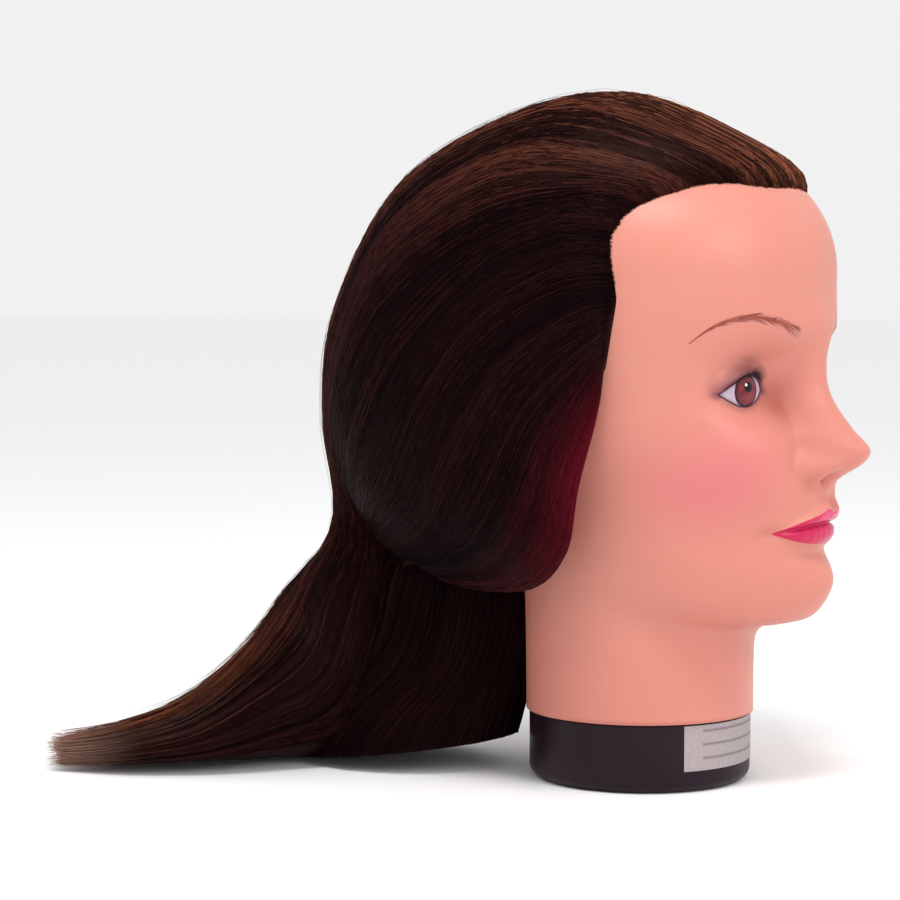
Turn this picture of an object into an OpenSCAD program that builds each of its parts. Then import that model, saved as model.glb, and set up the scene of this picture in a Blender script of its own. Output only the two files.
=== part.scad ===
// Mannequin training head: a soft moulded head with rooted long hair on a black neck base.
// Millimetres, +Z up, face toward -Y, the head's right side toward -X.
// Origin: centre of the clamp socket's mouth, on the underside of the base.

/* [Overall size] */
// Height of the bare crown above the table
head_h = 260.5; // [225:0.5:300]
// Width of the bare head across the temples
head_w = 150; // [125:1:180]
// Length of the bare head from the forehead to the back
head_l = 190; // [160:1:225]
// Outside diameter of the soft neck
neck_d = 92.6; // [80:0.2:110]
// Size of the hair's body beyond the head, 1 is as styled
hair_body = 1; // [0.8:0.05:1.3]

/* [Neck base] */
// Outside diameter of the hard base
base_d = 90; // [76:1:108]
// Height of the visible black band
collar_h = 27.5; // [20:0.5:32]
// Thickness of the moulded walls
base_wall = 3; // [2:0.1:4]
// Height of the spigot that the soft neck is pushed on
spigot_h = 27; // [18:1:34]
// Radius of the rounded lower edge
foot_round = 4.5; // [2:0.5:7]
// Number of stiffening ribs inside
rib_n = 8; // [4:2:12]

/* [Clamp socket] */
// Bore for the post of a table clamp
socket_d = 25; // [18:0.5:32]
// Depth of the bore
socket_depth = 78; // [60:1:84]
// Wall of the socket tube
socket_wall = 2.5; // [1.5:0.1:4]

/* [Base plate and screws] */
// Thickness of the plate that closes the base
plate_t = 3; // [2:0.1:4]
// Thread diameter of the plate screws
screw_d = 3.5; // [3:0.1:4.5]
// Length of the plate screws
screw_l = 14; // [10:0.5:16]
// Circle that the screws stand on
screw_pcd = 62; // [58:0.5:66]

/* [Skin and scalp] */
// Thickness of the soft skin
skin_wall = 4; // [3:0.1:5]
// Thickness of the scalp cap
scalp_t = 1.8; // [1.2:0.1:2.4]
// Thickness of the adhesive that locks the hair roots
lock_t = 0.7; // [0.4:0.1:1]
// Clearance between parts that slide together
slide_fit = 0.3; // [0.1:0.05:0.5]
// Gap between bonded layers
bond_gap = 0.05; // [0.02:0.01:0.1]

/* [Label] */
// Angle that the label wraps round the base
label_arc = 84; // [40:2:120]
// Height of the label
label_h = 18; // [10:0.5:20]
// Thickness of the label
label_t = 0.2; // [0.1:0.05:0.4]

/* [Hidden] */
$fn = 72;
tiny = 0.001;
overlap = 0.5;

// Colours, one for each material
c_base = [0.10, 0.08, 0.10];
c_plate = [0.16, 0.15, 0.17];
c_steel = [0.72, 0.73, 0.75];
c_socket = [0.24, 0.24, 0.26];
c_foam = [0.93, 0.89, 0.76];
c_skin = [0.93, 0.70, 0.60];
c_scalp = [0.45, 0.33, 0.27];
c_lock = [0.80, 0.74, 0.60];
c_eye = [0.86, 0.84, 0.85];
c_lash = [0.06, 0.04, 0.05];
c_label = [0.95, 0.95, 0.93];
c_hair = [0.20, 0.10, 0.07];

// The head is drawn once for these sizes, then grown to the chosen ones
drawn_h = 256;
drawn_w = 150;
drawn_l = 190;
drawn_neck_d = 92.6;
drawn_collar = 23;
grow_from = 48;
grow_to = 112;

k_width = head_w / drawn_w;
k_length = head_l / drawn_l;
k_height = (head_h - collar_h) / (drawn_h - drawn_collar);
k_neck = neck_d / drawn_neck_d;
k_low = collar_h / drawn_collar;

// ---- small helpers ----
function mix(a, b, t) = a + (b - a) * t;
function clamp01(t) = min(max(t, 0), 1);
function smooth(a, b, x) = let(t = clamp01((x - a) / (b - a))) t * t * (3 - 2 * t);
function bell(d, w, n = 2) = exp(-pow(abs(d) / w, n));
function spline(a, b, c, d, t) =
    0.5 * (2 * b + (c - a) * t + (2 * a - 5 * b + 4 * c - d) * t * t
           + (3 * b - a - 3 * c + d) * t * t * t);
// Point on a smooth curve through a list, s counts along the list
function along(list, s) =
    let(n = len(list) - 1, k = min(max(s, 0), n), i = min(floor(k), n - 1))
    spline(list[max(i - 1, 0)], list[i], list[i + 1], list[min(i + 2, n)], k - i);

// Grows a drawn point [side, forward, up] to the chosen size, in part axes
function grown(p) =
    let(g = smooth(grow_from, grow_to, p[2]))
    [p[0] * mix(k_neck, k_width, g), -p[1] * mix(k_neck, k_length, g),
     p[2] < drawn_collar ? p[2] * k_low : collar_h + (p[2] - drawn_collar) * k_height];

// ---- head form: level sections from the temples to the neck ----
// [front height, back height, front, back, half width, middle, front power, back power, underside]
SECTIONS = [
    [213, 213, 78.4, -111, 75, -16, 2.2, 2.2, 0],
    [200, 200, 78.2, -111, 75, -16, 2.2, 2.2, 0],
    [188, 188, 78.6, -111.5, 75.2, -16, 2.12, 2.2, 0],
    [176, 176, 77.2, -110, 74.8, -15.5, 2.05, 2.2, 0],
    [164, 164.5, 74.6, -107, 73.8, -15, 2, 2.2, 0],
    [152, 153.5, 74, -102, 72.2, -13.5, 1.98, 2.15, 0],
    [140, 142.5, 75, -95, 70.2, -11, 1.98, 2.1, 0],
    [128, 132, 77.4, -86, 67.4, -8, 1.95, 2.1, 0],
    [116, 122, 79.6, -77, 63.6, -5, 1.88, 2.05, 0],
    [104, 112.5, 79, -68, 59.6, -2, 1.84, 2, 0],
    [92.5, 104, 77.6, -61, 56, 1, 1.82, 2, 0],
    [80, 96, 79.4, -55, 52.8, 3, 1.82, 2, 0],
    [70, 90, 77.4, -52, 50.6, 4, 1.84, 2, 0.3],
    [64.2, 86, 72.6, -50, 49, 4, 1.86, 2, 0.8],
    [61.4, 81, 63, -48.6, 47.8, 2.5, 1.9, 2, 1],
    [59.6, 75, 53.5, -47.6, 46.9, 1, 1.95, 2, 0.8],
    [54, 66, 47.4, -47, 46.4, 0.3, 2, 2, 0.3],
    [43, 50, 46.4, -46.6, 46.3, 0, 2, 2, 0],
    [32, 35, 46.3, -46.4, 46.3, 0, 2, 2, 0],
    [23, 23, 46.3, -46.3, 46.3, 0, 2, 2, 0],
    [13, 10, 46.3, -46.3, 46.3, 0, 2, 2, 0]];
last_row = len(SECTIONS) - 3;
dome_from = 200;
dome_h = 56;
dome_front = 0.7;
dome_back = 0.98;
dome_side = 0.98;
under_back = 0.3;

// Section at row v; rows -1 to 0 are the dome, rows above 0 follow the list
function section(v, off) =
    v < 0
    ? let(a = 90 * (v + 1), s = sin(a), d = SECTIONS[1], z = dome_from + (dome_h + off) * cos(a))
      [z, z, d[5] + (d[2] + off - d[5]) * pow(s, dome_front),
       d[5] + (d[3] - off - d[5]) * pow(s, dome_back), (d[4] + off) * pow(s, dome_side), d[5],
       mix(2, d[6], s), mix(2, d[7], s)]
    : let(n = last_row, k = min(v, n), i = min(floor(k), n - 1),
          p = spline(SECTIONS[i], SECTIONS[i + 1], SECTIONS[i + 2], SECTIONS[i + 3], k - i))
      [p[0] - off * p[8], p[1] - under_back * off * p[8], p[2] + off, p[3] - off,
       p[4] + off, p[5], p[6], p[7]];

// Plain head surface, before the features are added
function head_point(turn, v, off) =
    let(p = section(v, off), c = cos(turn), s = sin(turn),
        reach = max(c >= 0 ? p[2] - p[5] : p[5] - p[3], tiny), w = max(p[4], tiny),
        n = c >= 0 ? p[6] : p[7],
        r = pow(pow(abs(c) / reach, n) + pow(abs(s) / w, n), -1 / n),
        f = p[5] + r * c, t = clamp01((f - p[3]) / max(p[2] - p[3], tiny)))
    [r * s, f, mix(p[1], p[0], t)];

// ---- features of the face ----
// [height, how far it stands out, half width of the ridge, half width where it meets the cheek]
NOSE = [
    [188, 0.6, 3, 15], [180, 2, 3, 15], [174, 3, 3, 14], [169, 3.8, 3.2, 13.4],
    [164, 4.8, 3.2, 13], [157, 5.9, 3, 13], [152, 7.6, 2.8, 13.4], [147.5, 9.8, 2.8, 14],
    [143, 12.6, 3, 14.8], [138, 15.7, 3.4, 15.5], [134.5, 18.6, 4, 15.2],
    [131.5, 20.4, 4.4, 14.2], [129, 19.7, 4.2, 13.4], [126, 16.8, 3.9, 12.8],
    [123.5, 12.6, 3.5, 12.4], [121, 7.6, 3.2, 12], [118.5, 3.4, 2.8, 11],
    [115, 1, 2.4, 10], [111, 0, 2, 9]];
nose_stand = [for (r = NOSE) [r[0], r[1]]];
nose_ridge = [for (r = NOSE) [r[0], r[2]]];
nose_foot = [for (r = NOSE) [r[0], r[3]]];
nose_low = 111;
nose_high = 190;
mouth_half = 25;
mouth_z = 102.3;
mouth_drop = 3.4;
eye_ball = [24, 42.3, 155];
eye_r = 20;
eye_in = 20.2;
eye_out = 42.6;
eye_mid = 153.9;
eye_up = 7.9;
eye_down = 5.3;
ear_at = [-13, 150];
ear_half = [13, 26];
ear_out = 6;

function nose(x, z) =
    z < nose_low || z > nose_high ? 0 :
    let(ridge = 0.55 * lookup(z, nose_ridge), foot = lookup(z, nose_foot))
    lookup(z, nose_stand) * (1 - smooth(0, 1, clamp01((x - ridge) / (foot - ridge))));
function nose_wing(x, z) =
    6.2 * exp(-pow(abs(x - 12) / 4.6, 2.4) - pow(abs(z - 124.5) / 5.6, 2.2))
    - 4.2 * exp(-pow((x - 6.2) / 2.5, 2) - pow((z - 120.3) / 2.2, 2));
function lips(x, z) =
    x > mouth_half + 3 ? 0 :
    let(t = clamp01(x / mouth_half), part = mouth_z - mouth_drop * pow(t, 1.7),
        up = max(5.9 * pow(1 - pow(t, 2.2), 0.9) + 1.2 * bell(x - 5.5, 3) - 0.6 * bell(x, 2.6), 0.1),
        low = max(8.6 * pow(1 - pow(t, 2.4), 0.85), 0.1),
        fade = 1 - pow(clamp01(x / (mouth_half + 1)), 2.2),
        a = (z - part) / up, b = (part - z) / low)
    fade * (a >= 0 ? 3.2 * pow(clamp01(a), 0.55) * (1 - smooth(0.55, 1.9, a))
                   : 3 * pow(clamp01(b), 0.5) * (1 - smooth(0.45, 1.45, b)))
    - 1.6 * bell(z - part, 1.3) * (1 - pow(t, 4));
function soft_forms(x, z) =
    1.8 * bell(x - 24, 20) * bell(z - 178, 7.5)
    - 8.8 * exp(-pow(abs(x - 28.5) / 17.5, 2.6) - pow(abs(z - 157.5) / 14, 2.4))
    + 3.2 * bell(x - 38, 15) * bell(z - 131, 13)
    - 1.6 * bell(x - 44, 12) * bell(z - 103, 14)
    + 3 * bell(x, 15) * bell(z - 79, 9)
    + 2.4 * bell(x, 21, 2.4) * bell(z - 107, 13, 2.4)
    - 1.3 * bell(x - 29, 5) * bell(z - 103, 9);
// Opening between the eyelids at a side position: [lower edge, upper edge]
function lid_gap(x) =
    let(s = clamp01((x - eye_in) / (eye_out - eye_in)), m = eye_mid - 0.4 * s)
    [m - eye_down * pow(sin(180 * pow(s, 1.12)), 0.8), m + eye_up * pow(sin(180 * pow(s, 0.86)), 0.72)];
function ball_front(x, z) =
    let(q = pow(eye_r, 2) - pow(x - eye_ball[0], 2) - pow(z - eye_ball[2], 2))
    q > 0 ? eye_ball[1] + sqrt(q) : -drawn_l;
function lid_over(x, z) =
    let(g = lid_gap(x), inside = x > eye_in && x < eye_out ? min(g[1] - z, z - g[0]) : -3)
    (z > eye_mid ? 1.5 : 1) * (1 - smooth(-0.9, 0.3, inside));
function blend_max(a, b, k) =
    let(h = clamp01(0.5 + 0.5 * (b - a) / k)) mix(a, b, h) + k * h * (1 - h);
function ear(f, z) =
    ear_out * bell(f - ear_at[0], ear_half[0], 4) * bell(z - ear_at[1], ear_half[1], 4);

// Adds the features to a point of the plain head
function featured(p) =
    let(x = abs(p[0]), z = p[2], front = smooth(20, 40, p[1]))
    front <= 0
    ? [p[0] + sign(p[0]) * ear(p[1], z) * smooth(40, 60, x), p[1], z]
    : let(f = p[1] + front * (soft_forms(x, z) + nose(x, z) + nose_wing(x, z) + lips(x, z)),
          ball = ball_front(x, z) + lid_over(x, z))
      [p[0], blend_max(f, ball, 2.2), z];

// ---- hairline: the row of the scalp's edge at each turn round the head ----
HAIRLINE = [
    [0, -0.36], [20, -0.37], [30, -0.38], [37, -0.35], [45.5, -0.285], [53, -0.195], [58, -0.07],
    [60.3, 0.65], [62, 1.65], [65, 2.9], [68, 3.75], [74, 4], [78, 3.3], [82, 2], [90, 1.35],
    [100, 1.35], [108, 2.2], [114, 4.3], [118, 6.6], [125, 8.3], [140, 9.6], [160, 10.3], [180, 10.5]];
function hairline(turn) = lookup(abs(turn), HAIRLINE);

// Turns of the head's columns, close together across the face
face_cols = 36;
back_cols = 20;
face_turn = 70;
COLS = concat([for (i = [0 : face_cols - 1]) -face_turn + 2 * face_turn * i / face_cols],
              [for (i = [0 : back_cols - 1]) face_turn + (360 - 2 * face_turn) * i / back_cols]);
function signed_turn(a) = a > 180 ? a - 360 : a;

// Rows of the face below the hairline, as drawn on the middle line
fore_rows = 4;
face_rows = 36;
neck_rows = 5;
face_from = 1;
face_to = 14;
line_mid = -0.36;
FACE = concat([for (i = [0 : fore_rows - 1]) mix(line_mid, face_from, i / fore_rows)],
              [for (i = [0 : face_rows - 1]) mix(face_from, face_to, i / face_rows)],
              [for (i = [0 : neck_rows]) mix(face_to, last_row, i / neck_rows)]);
function face_row(v, edge) = mix(edge, last_row, (v - line_mid) / (last_row - line_mid));
scalp_rows = 10;
// The dome counts for this many rows, so that rows stay evenly apart down the head
dome_rows = 10;
function row_of(q) = q < 0 ? q / dome_rows : q;
function to_even(v) = v < 0 ? v * dome_rows : v;
function even_row(v, t) = row_of(mix(-dome_rows, to_even(v), t));
function scalp_row(k, edge) = even_row(edge, k / scalp_rows);
recess = scalp_t + lock_t;
edge_gap = 0.03;

// ---- closed solid from rings of points, each end closed by a fan ----
// From ring `back_from` on, the rings return up the inside, so their quads are split the other way
module rings(r, back_from = 1000) {
    n = len(r[0]);
    m = len(r);
    ends = [centre(r[0]), centre(r[m - 1])];
    pts = concat([for (ring = r) each ring], ends);
    faces = concat(
        [for (k = [0 : m - 2], i = [0 : n - 1])
            let(j = (i + 1) % n, a = k * n + i, b = k * n + j, c = (k + 1) * n + i, d = (k + 1) * n + j)
            each k < back_from ? [[a, b, c], [b, d, c]] : [[a, b, d], [a, d, c]]],
        [for (i = [0 : n - 1]) [m * n, (i + 1) % n, i]],
        [for (i = [0 : n - 1]) [m * n + 1, (m - 1) * n + i, (m - 1) * n + (i + 1) % n]]);
    polyhedron(pts, faces, convexity = 8);
}
function turned_over(ring) = [for (i = [len(ring) - 1 : -1 : 0]) ring[i]];
function centre(ring, i = 0, sum = [0, 0, 0]) =
    i == len(ring) ? sum / len(ring) : centre(ring, i + 1, sum + ring[i]);

// Inside surface of the skin, following the soft forms of the face
function hollowed(p) =
    [p[0], p[1] + smooth(20, 40, p[1]) * soft_forms(abs(p[0]), p[2]), p[2]];
function inner_ring(v, gap) =
    [for (a = COLS) grown(hollowed(head_point(signed_turn(a), v, -skin_wall - recess * smooth(14, 8, v) - gap)))];

// ---- soft head ----
cavity_n = 16;
function cavity_row(i) = even_row(last_row, i / cavity_n);

function scalp_ring(k, off, back = 0) =
    [for (a = COLS) let(t = signed_turn(a)) grown(head_point(t, scalp_row(k, hairline(t) - back), off))];

module face_skin() {
    top = concat([for (k = [1 : scalp_rows]) scalp_ring(k, -recess, edge_gap)],
                 [scalp_ring(scalp_rows, -recess)]);
    face = [for (v = FACE) [for (a = COLS) let(t = signed_turn(a))
        grown(featured(head_point(t, face_row(v, hairline(t) + edge_gap), 0)))]];
    inside = [for (i = [cavity_n : -1 : 1]) inner_ring(cavity_row(i), 0)];
    color(c_skin) rings(concat(top, face, inside), len(top) + len(face));
}

// A layer of the scalp between two depths, ending at the hairline
module scalp_layer(outer, inner) {
    out = [for (k = [1 : scalp_rows]) scalp_ring(k, outer, edge_gap)];
    in = [for (k = [scalp_rows : -1 : 1]) scalp_ring(k, inner, edge_gap)];
    rings(concat(out, in), scalp_rows);
}
module scalp_cap() color(c_scalp) scalp_layer(0, -scalp_t);
module root_lock() color(c_lock) scalp_layer(-scalp_t - bond_gap, -recess + bond_gap);

// ---- foam that fills the head and grips the socket ----
socket_r = socket_d / 2 + socket_wall;
cap_wall = 2;
cap_lap = 8;
cap_r = socket_r + slide_fit / 2 + cap_wall;
cap_top = socket_depth + cap_wall + slide_fit;
foam_low = collar_h + spigot_h + 1;
foam_rows = cavity_n - 2;
foam_gap = 0.3;
function flat_ring(r, z) = [for (a = COLS) [r * sin(a), -r * cos(a), z]];
module foam_core() {
    pocket = cap_r + 2 * slide_fit;
    body = [for (i = [1 : foam_rows]) inner_ring(cavity_row(i), foam_gap)];
    neck = flat_ring((drawn_neck_d / 2 - skin_wall - foam_gap) * k_neck - 1, foam_low);
    hole = [flat_ring(pocket, foam_low), flat_ring(pocket, cap_top + slide_fit)];
    color(c_foam) rings(concat(body, [neck], hole));
}

// ---- hard base ----
base_r = base_d / 2;
spigot_r = (drawn_neck_d / 2 - skin_wall - slide_fit) * k_neck - 0.4;
plate_r = base_r - base_wall - slide_fit;
deck_z = collar_h - base_wall;
round_steps = 6;
top_round = 0.8;
boss_r = screw_d / 2 + 2.2;
boss_top = deck_z;
pilot_d = screw_d - 0.8;

module neck_base() {
    foot = [for (i = [0 : round_steps]) let(a = 90 * i / round_steps)
        [base_r - foot_round * (1 - sin(a)), foot_round * (1 - cos(a))]];
    outline = concat(
        [[base_r - base_wall, 0]],
        [for (i = [0 : round_steps]) if (base_r - foot_round * (1 - sin(90 * i / round_steps)) > base_r - base_wall) foot[i]],
        [[base_r, collar_h - top_round], [base_r - top_round, collar_h], [spigot_r, collar_h],
         [spigot_r, collar_h + spigot_h - 1], [spigot_r - 1, collar_h + spigot_h],
         [spigot_r - base_wall, collar_h + spigot_h], [spigot_r - base_wall, collar_h],
         [socket_r + slide_fit / 2, collar_h], [socket_r + slide_fit / 2, deck_z],
         [base_r - base_wall, deck_z]]);
    color(c_base) difference() {
        union() {
            rotate_extrude() polygon(outline);
            for (i = [0 : rib_n - 1]) rotate(360 * (i + 0.5) / rib_n) rib();
            for (i = [0 : 3]) rotate(90 * i + 45) translate([screw_pcd / 2, 0, plate_t + slide_fit])
                cylinder(r = boss_r, h = boss_top - plate_t);
        }
        for (i = [0 : 3]) rotate(90 * i + 45) translate([screw_pcd / 2, 0, plate_t])
            cylinder(r = pilot_d / 2, h = screw_l);
    }
}
rib_t = 2;
flange_r = socket_r + 7;
flange_t = 2.5;
module rib() {
    from = flange_r + 1;
    translate([from, -rib_t / 2, plate_t + slide_fit])
        cube([base_r - base_wall - from + overlap, rib_t, deck_z - plate_t]);
}

head_r = screw_d;
head_t = 1.9;
module base_plate() {
    color(c_plate) difference() {
        cylinder(r = plate_r, h = plate_t);
        translate([0, 0, -overlap]) cylinder(r = socket_r + slide_fit / 2, h = plate_t + 2 * overlap);
        for (i = [0 : 3]) rotate(90 * i + 45) translate([screw_pcd / 2, 0, -overlap]) {
            cylinder(r = screw_d / 2 + 0.15, h = plate_t + 2 * overlap);
            cylinder(r = head_r + 0.15, h = head_t + overlap);
        }
    }
}
drive_w = 0.9;
module base_screws() {
    for (i = [0 : 3]) rotate(90 * i + 45) translate([screw_pcd / 2, 0, 0.1]) color(c_steel) difference() {
        union() {
            cylinder(r = head_r, h = head_t - 0.1);
            cylinder(r = pilot_d / 2 - 0.02, h = screw_l);
        }
        for (a = [0, 90]) rotate(a) translate([-head_r * 0.6, -drive_w / 2, -overlap])
            cube([head_r * 1.2, drive_w, overlap + head_t / 2]);
    }
}

module clamp_socket() {
    color(c_socket) difference() {
        union() {
            cylinder(r = socket_r, h = socket_depth);
            translate([0, 0, plate_t + bond_gap]) cylinder(r = flange_r, h = flange_t);
        }
        translate([0, 0, -overlap]) cylinder(d = socket_d, h = socket_depth + 2 * overlap);
    }
}
module socket_cap() {
    skirt = socket_r + slide_fit / 2;
    color(c_plate) rotate_extrude() polygon([
        [0, socket_depth + bond_gap], [skirt, socket_depth + bond_gap], [skirt, socket_depth - cap_lap],
        [cap_r, socket_depth - cap_lap], [cap_r, cap_top - 1], [cap_r - 1, cap_top], [0, cap_top]]);
}

label_gap = 0.03;
label_low = collar_h - label_h - 0.9;
module label() {
    color(c_label) rotate([0, 0, -90 - label_arc / 2]) rotate_extrude(angle = label_arc)
        translate([base_r + label_gap, max(label_low, foot_round)])
        square([label_t, collar_h - top_round - 0.1 - max(label_low, foot_round)]);
}

// ---- painted eyes and lashes ----
print_t = 0.3;
print_lift = 0.9;
print_margin = 1.1;
print_full = 0.92;
print_cols = 12;
print_rows = 6;
function eye_point(side, s, t, lift) =
    let(x = mix(eye_in + print_margin, eye_out - print_margin, s), g = lid_gap(x),
        z = mix(g[0], g[1], 0.5 + (t - 0.5) * print_full),
        d = [x, ball_front(x, z), z] - eye_ball)
    grown([side * (eye_ball[0] + d[0] * (1 + lift / eye_r)),
           eye_ball[1] + d[1] * (1 + lift / eye_r), eye_ball[2] + d[2] * (1 + lift / eye_r)]);
// The loops run round the almond, shrinking to its middle, front face then back face
function eye_loop(side, k, lift) =
    let(q = k / print_rows)
    [for (i = [0 : 2 * print_cols - 1])
        let(c = i < print_cols ? i / print_cols : 2 - i / print_cols,
            top = i < print_cols ? 1 : 0,
            s = 0.5 + (c - 0.5) * q,
            t = 0.5 + (top - 0.5) * q)
        eye_point(side, s, t, lift)];
module eye_print(side) {
    front = [for (k = [1 : print_rows]) eye_loop(side, k, print_lift + print_t)];
    back = [for (k = [print_rows : -1 : 1]) eye_loop(side, k, print_lift)];
    loops = concat(front, back);
    color(c_eye) rings(side < 0 ? loops : [for (q = loops) turned_over(q)]);
}
module eye_print_right() eye_print(-1);
module eye_print_left() eye_print(1);

lash_cols = 12;
lash_out = 6.5;
lash_rise = 3.6;
lash_t = 0.35;
function lash_point(side, s, reach, rise) =
    let(x = mix(eye_in + 2, eye_out - 0.3, s), z = lid_gap(x)[1] + 0.8, f = ball_front(x, min(z, eye_ball[2] + 9)))
    grown([side * (x + 0.5 * reach * s), f + print_lift + 1.4 + reach * (1 - 0.4 * s), z + rise]);
module eyelash(side) {
    r = [for (k = [0 : lash_cols]) let(s = k / lash_cols, l = lash_out * (0.35 + 0.65 * sin(180 * pow(s, 1.5))))
        [lash_point(side, s, 0, 0), lash_point(side, s, l * 0.6, lash_rise * 0.25),
         lash_point(side, s, l, lash_rise * 0.8), lash_point(side, s, l * 0.6, lash_rise * 0.25 + lash_t),
         lash_point(side, s, 0, lash_t)]];
    color(c_lash) rings(side > 0 ? r : [for (q = r) turned_over(q)]);
}
module eyelash_right() eyelash(-1);
module eyelash_left() eyelash(1);

// ---- hair ----
// Lines combed back from the hairline to where the hair gathers behind the neck,
// [side, forward, up] for the left half, from the middle line round to the temple
LOCKS = [
    [[0, 69, 231.5], [0, 46, 251], [0, -15, 272.5], [0, -90, 247], [0, -130, 192], [0, -138, 142], [0, -136, 99]],
    [[23, 66, 231.5], [27, 42, 249], [36, -15, 267], [38, -85, 240], [36, -122, 186], [30, -132, 140], [20, -132, 98]],
    [[48, 46, 230], [57, 20, 241.5], [67, -24, 245], [67, -76, 218], [58, -108, 172], [42, -121, 133], [28, -124, 96]],
    [[65, 27, 217], [77, 0, 221], [86, -36, 206], [83, -74, 176], [68, -98, 142], [47, -112, 116], [32, -114, 92]],
    [[72, 22, 190], [82, 6, 184], [90, -18, 165], [88, -40, 134], [74, -62, 106], [52, -88, 92], [32, -105, 86]],
    [[74, 16, 160], [80, 17, 140], [82, 11, 116], [80, 5, 93], [72, -14, 79], [54, -55, 77], [28, -92, 82]]];
lock_last = len(LOCKS[0]) - 1;
// Heart line of the hair, inside the head and then through the gathered hair
HEART = [[0, -15, 200], [0, -15, 205], [0, -18, 200], [0, -28, 180], [0, -50, 140], [0, -84, 108], [0, -104, 90]];

function lock_point(u, s) =
    let(a = abs(u), n = len(LOCKS) - 1, i = min(floor(a), n - 1), t = a - i,
        p = spline(along(mirrored(i - 1), s), along(LOCKS[i], s), along(LOCKS[i + 1], s),
                   along(LOCKS[min(i + 2, n)], s), t),
        h = along(HEART, s), k = mix(1, hair_body, smooth(0, 2, s)))
    [sign(u) * (h[0] + (abs(p[0]) - h[0]) * k), h[1] + (p[1] - h[1]) * k, h[2] + (p[2] - h[2]) * k];
function mirrored(i) = i >= 0 ? LOCKS[i] : [for (p = LOCKS[1]) [-p[0], p[1], p[2]]];

// Head that the hair lies on, a little fuller than the skin
hair_off = 1.6;
mass_rows = 20;
module head_mass() {
    rings([for (k = [1 : mass_rows]) let(v = even_row(last_row - 1, k / mass_rows))
        [for (a = COLS) let(t = signed_turn(a)) grown(featured(head_point(t, v, hair_off)))]]);
}
// Wedge of hair between two lines and two places along them; its inner edge stands `lift` off the heart line
module hair_wedge(u0, u1, s0, s1, nu, ns, lift = 0) {
    r = [for (k = [0 : ns])
        let(s = mix(s0, s1, k / ns), h = along(HEART, s), out = lock_point((u0 + u1) / 2, s) - h)
        concat([for (i = [nu : -1 : 0]) grown(lock_point(mix(u0, u1, i / nu), s))],
               [grown(h + out * lift / norm(out))])];
    rings(r);
}
lock_step = 0.4;
split_front = 3 * lock_step;
split_back = 8 * lock_step;
split_side = 2.2;
part_gap = 0.012;
lock_end = 6 - part_gap;
back_end = 5.9;
side_end = 5;
heart_gap = 4;
// One body of hair over the head, between two lines and two places along them
module hair_body_piece(u0, u1, s0, s1, nu) {
    hair_wedge(u0 + part_gap, u1 - part_gap, s0 + part_gap, s1 - part_gap, nu,
               round((s1 - s0) / lock_step), heart_gap);
}
module side_wedges() {
    hair_wedge(-side_end, -split_side, part_gap, lock_end, 8, 15);
    hair_wedge(split_side, side_end, part_gap, lock_end, 8, 15);
}
module top_lock(s0, s1) {
    color(c_hair) resize([0, 0, 0]) difference() {
        hair_body_piece(-split_side, split_side, s0, s1, 12);
        head_mass();
    }
}
module hair_front() top_lock(0, split_front);
module hair_crown() top_lock(split_front, split_back);
module hair_back() top_lock(split_back, back_end);
module side_lock(u0, u1) {
    color(c_hair) resize([0, 0, 0]) difference() {
        hair_wedge(u0, u1, part_gap, lock_end, 8, 15);
        head_mass();
    }
}
module hair_side_right() side_lock(-side_end, -split_side - part_gap);
module hair_side_left() side_lock(split_side + part_gap, side_end);

// Hair lying in rings: [centre, half side, half depth], [lean of the depth, turn of the side]
ring_cols = 20;
function lay(c, side, deep, lean, yaw, low) =
    [for (i = [ring_cols - 1 : -1 : 0])
        let(a = 360 * i / ring_cols, x = side * sin(a), y = deep * cos(a) * cos(lean))
        grown([c[0] + x * cos(yaw) + y * sin(yaw), c[1] + x * sin(yaw) - y * cos(yaw),
               max(c[2] + deep * cos(a) * sin(lean), low)])];
module laid_hair(list, n, low) {
    rings([for (k = [0 : n])
        let(s = (len(list) - 1) * k / n, c = along([for (q = list) q[0]], s),
            a = along([for (q = list) [q[1], q[2], 0]], s), b = along([for (q = list) [q[3], q[4], 0]], s))
        lay(c, max(a[0], 1), max(a[1], 0.6), b[0], b[1], low)]);
}
// Tail, from the gathered hair to the tips on the table
TAIL = [[[-2, -112, 87], 31, 26, 0, 0], [[-12, -124, 60], 35, 34, 30, -18], [[-26, -136, 34], 40, 34, 60, -32],
        [[-46, -156, 21], 42, 21, 75, -36], [[-66, -176, 12.5], 38, 12, 86, -38],
        [[-86, -198, 9], 27, 8.5, 90, -38], [[-103, -216, 6], 9, 5, 90, -38]];
tail_rows = 14;
tail_low = 0.05;
module tail_body() laid_hair(TAIL, tail_rows, tail_low);
module hair_tail() {
    color(c_hair) resize([0, 0, 0]) difference() {
        tail_body();
        side_wedges();
        hair_wedge(-split_side, split_side, split_back, lock_end, 12, 7);
    }
}
// Hair from the nape, falling behind the neck to the table
NAPE = [[[0, -84, 88], 29, 34, 0, 0], [[-1, -86, 70], 33, 38, 0, 0], [[-3, -88, 52], 36, 40, 0, 0],
        [[-7, -94, 34], 38, 44, -2, 0], [[-12, -99, 18], 40, 48, -4, 0], [[-16, -102, 5.4], 40, 50, -6.5, 0]];
nape_rows = 8;
neck_clear = 1.5;
module hair_nape() {
    color(c_hair) resize([0, 0, 0]) difference() {
        laid_hair(NAPE, nape_rows, tail_low);
        head_mass();
        translate([0, 0, -overlap]) cylinder(r = max(base_r, neck_d / 2) + neck_clear, h = head_h / 3);
        tail_body();
        side_wedges();
        hair_wedge(-split_side, split_side, split_back, lock_end, 12, 7);
    }
}

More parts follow.
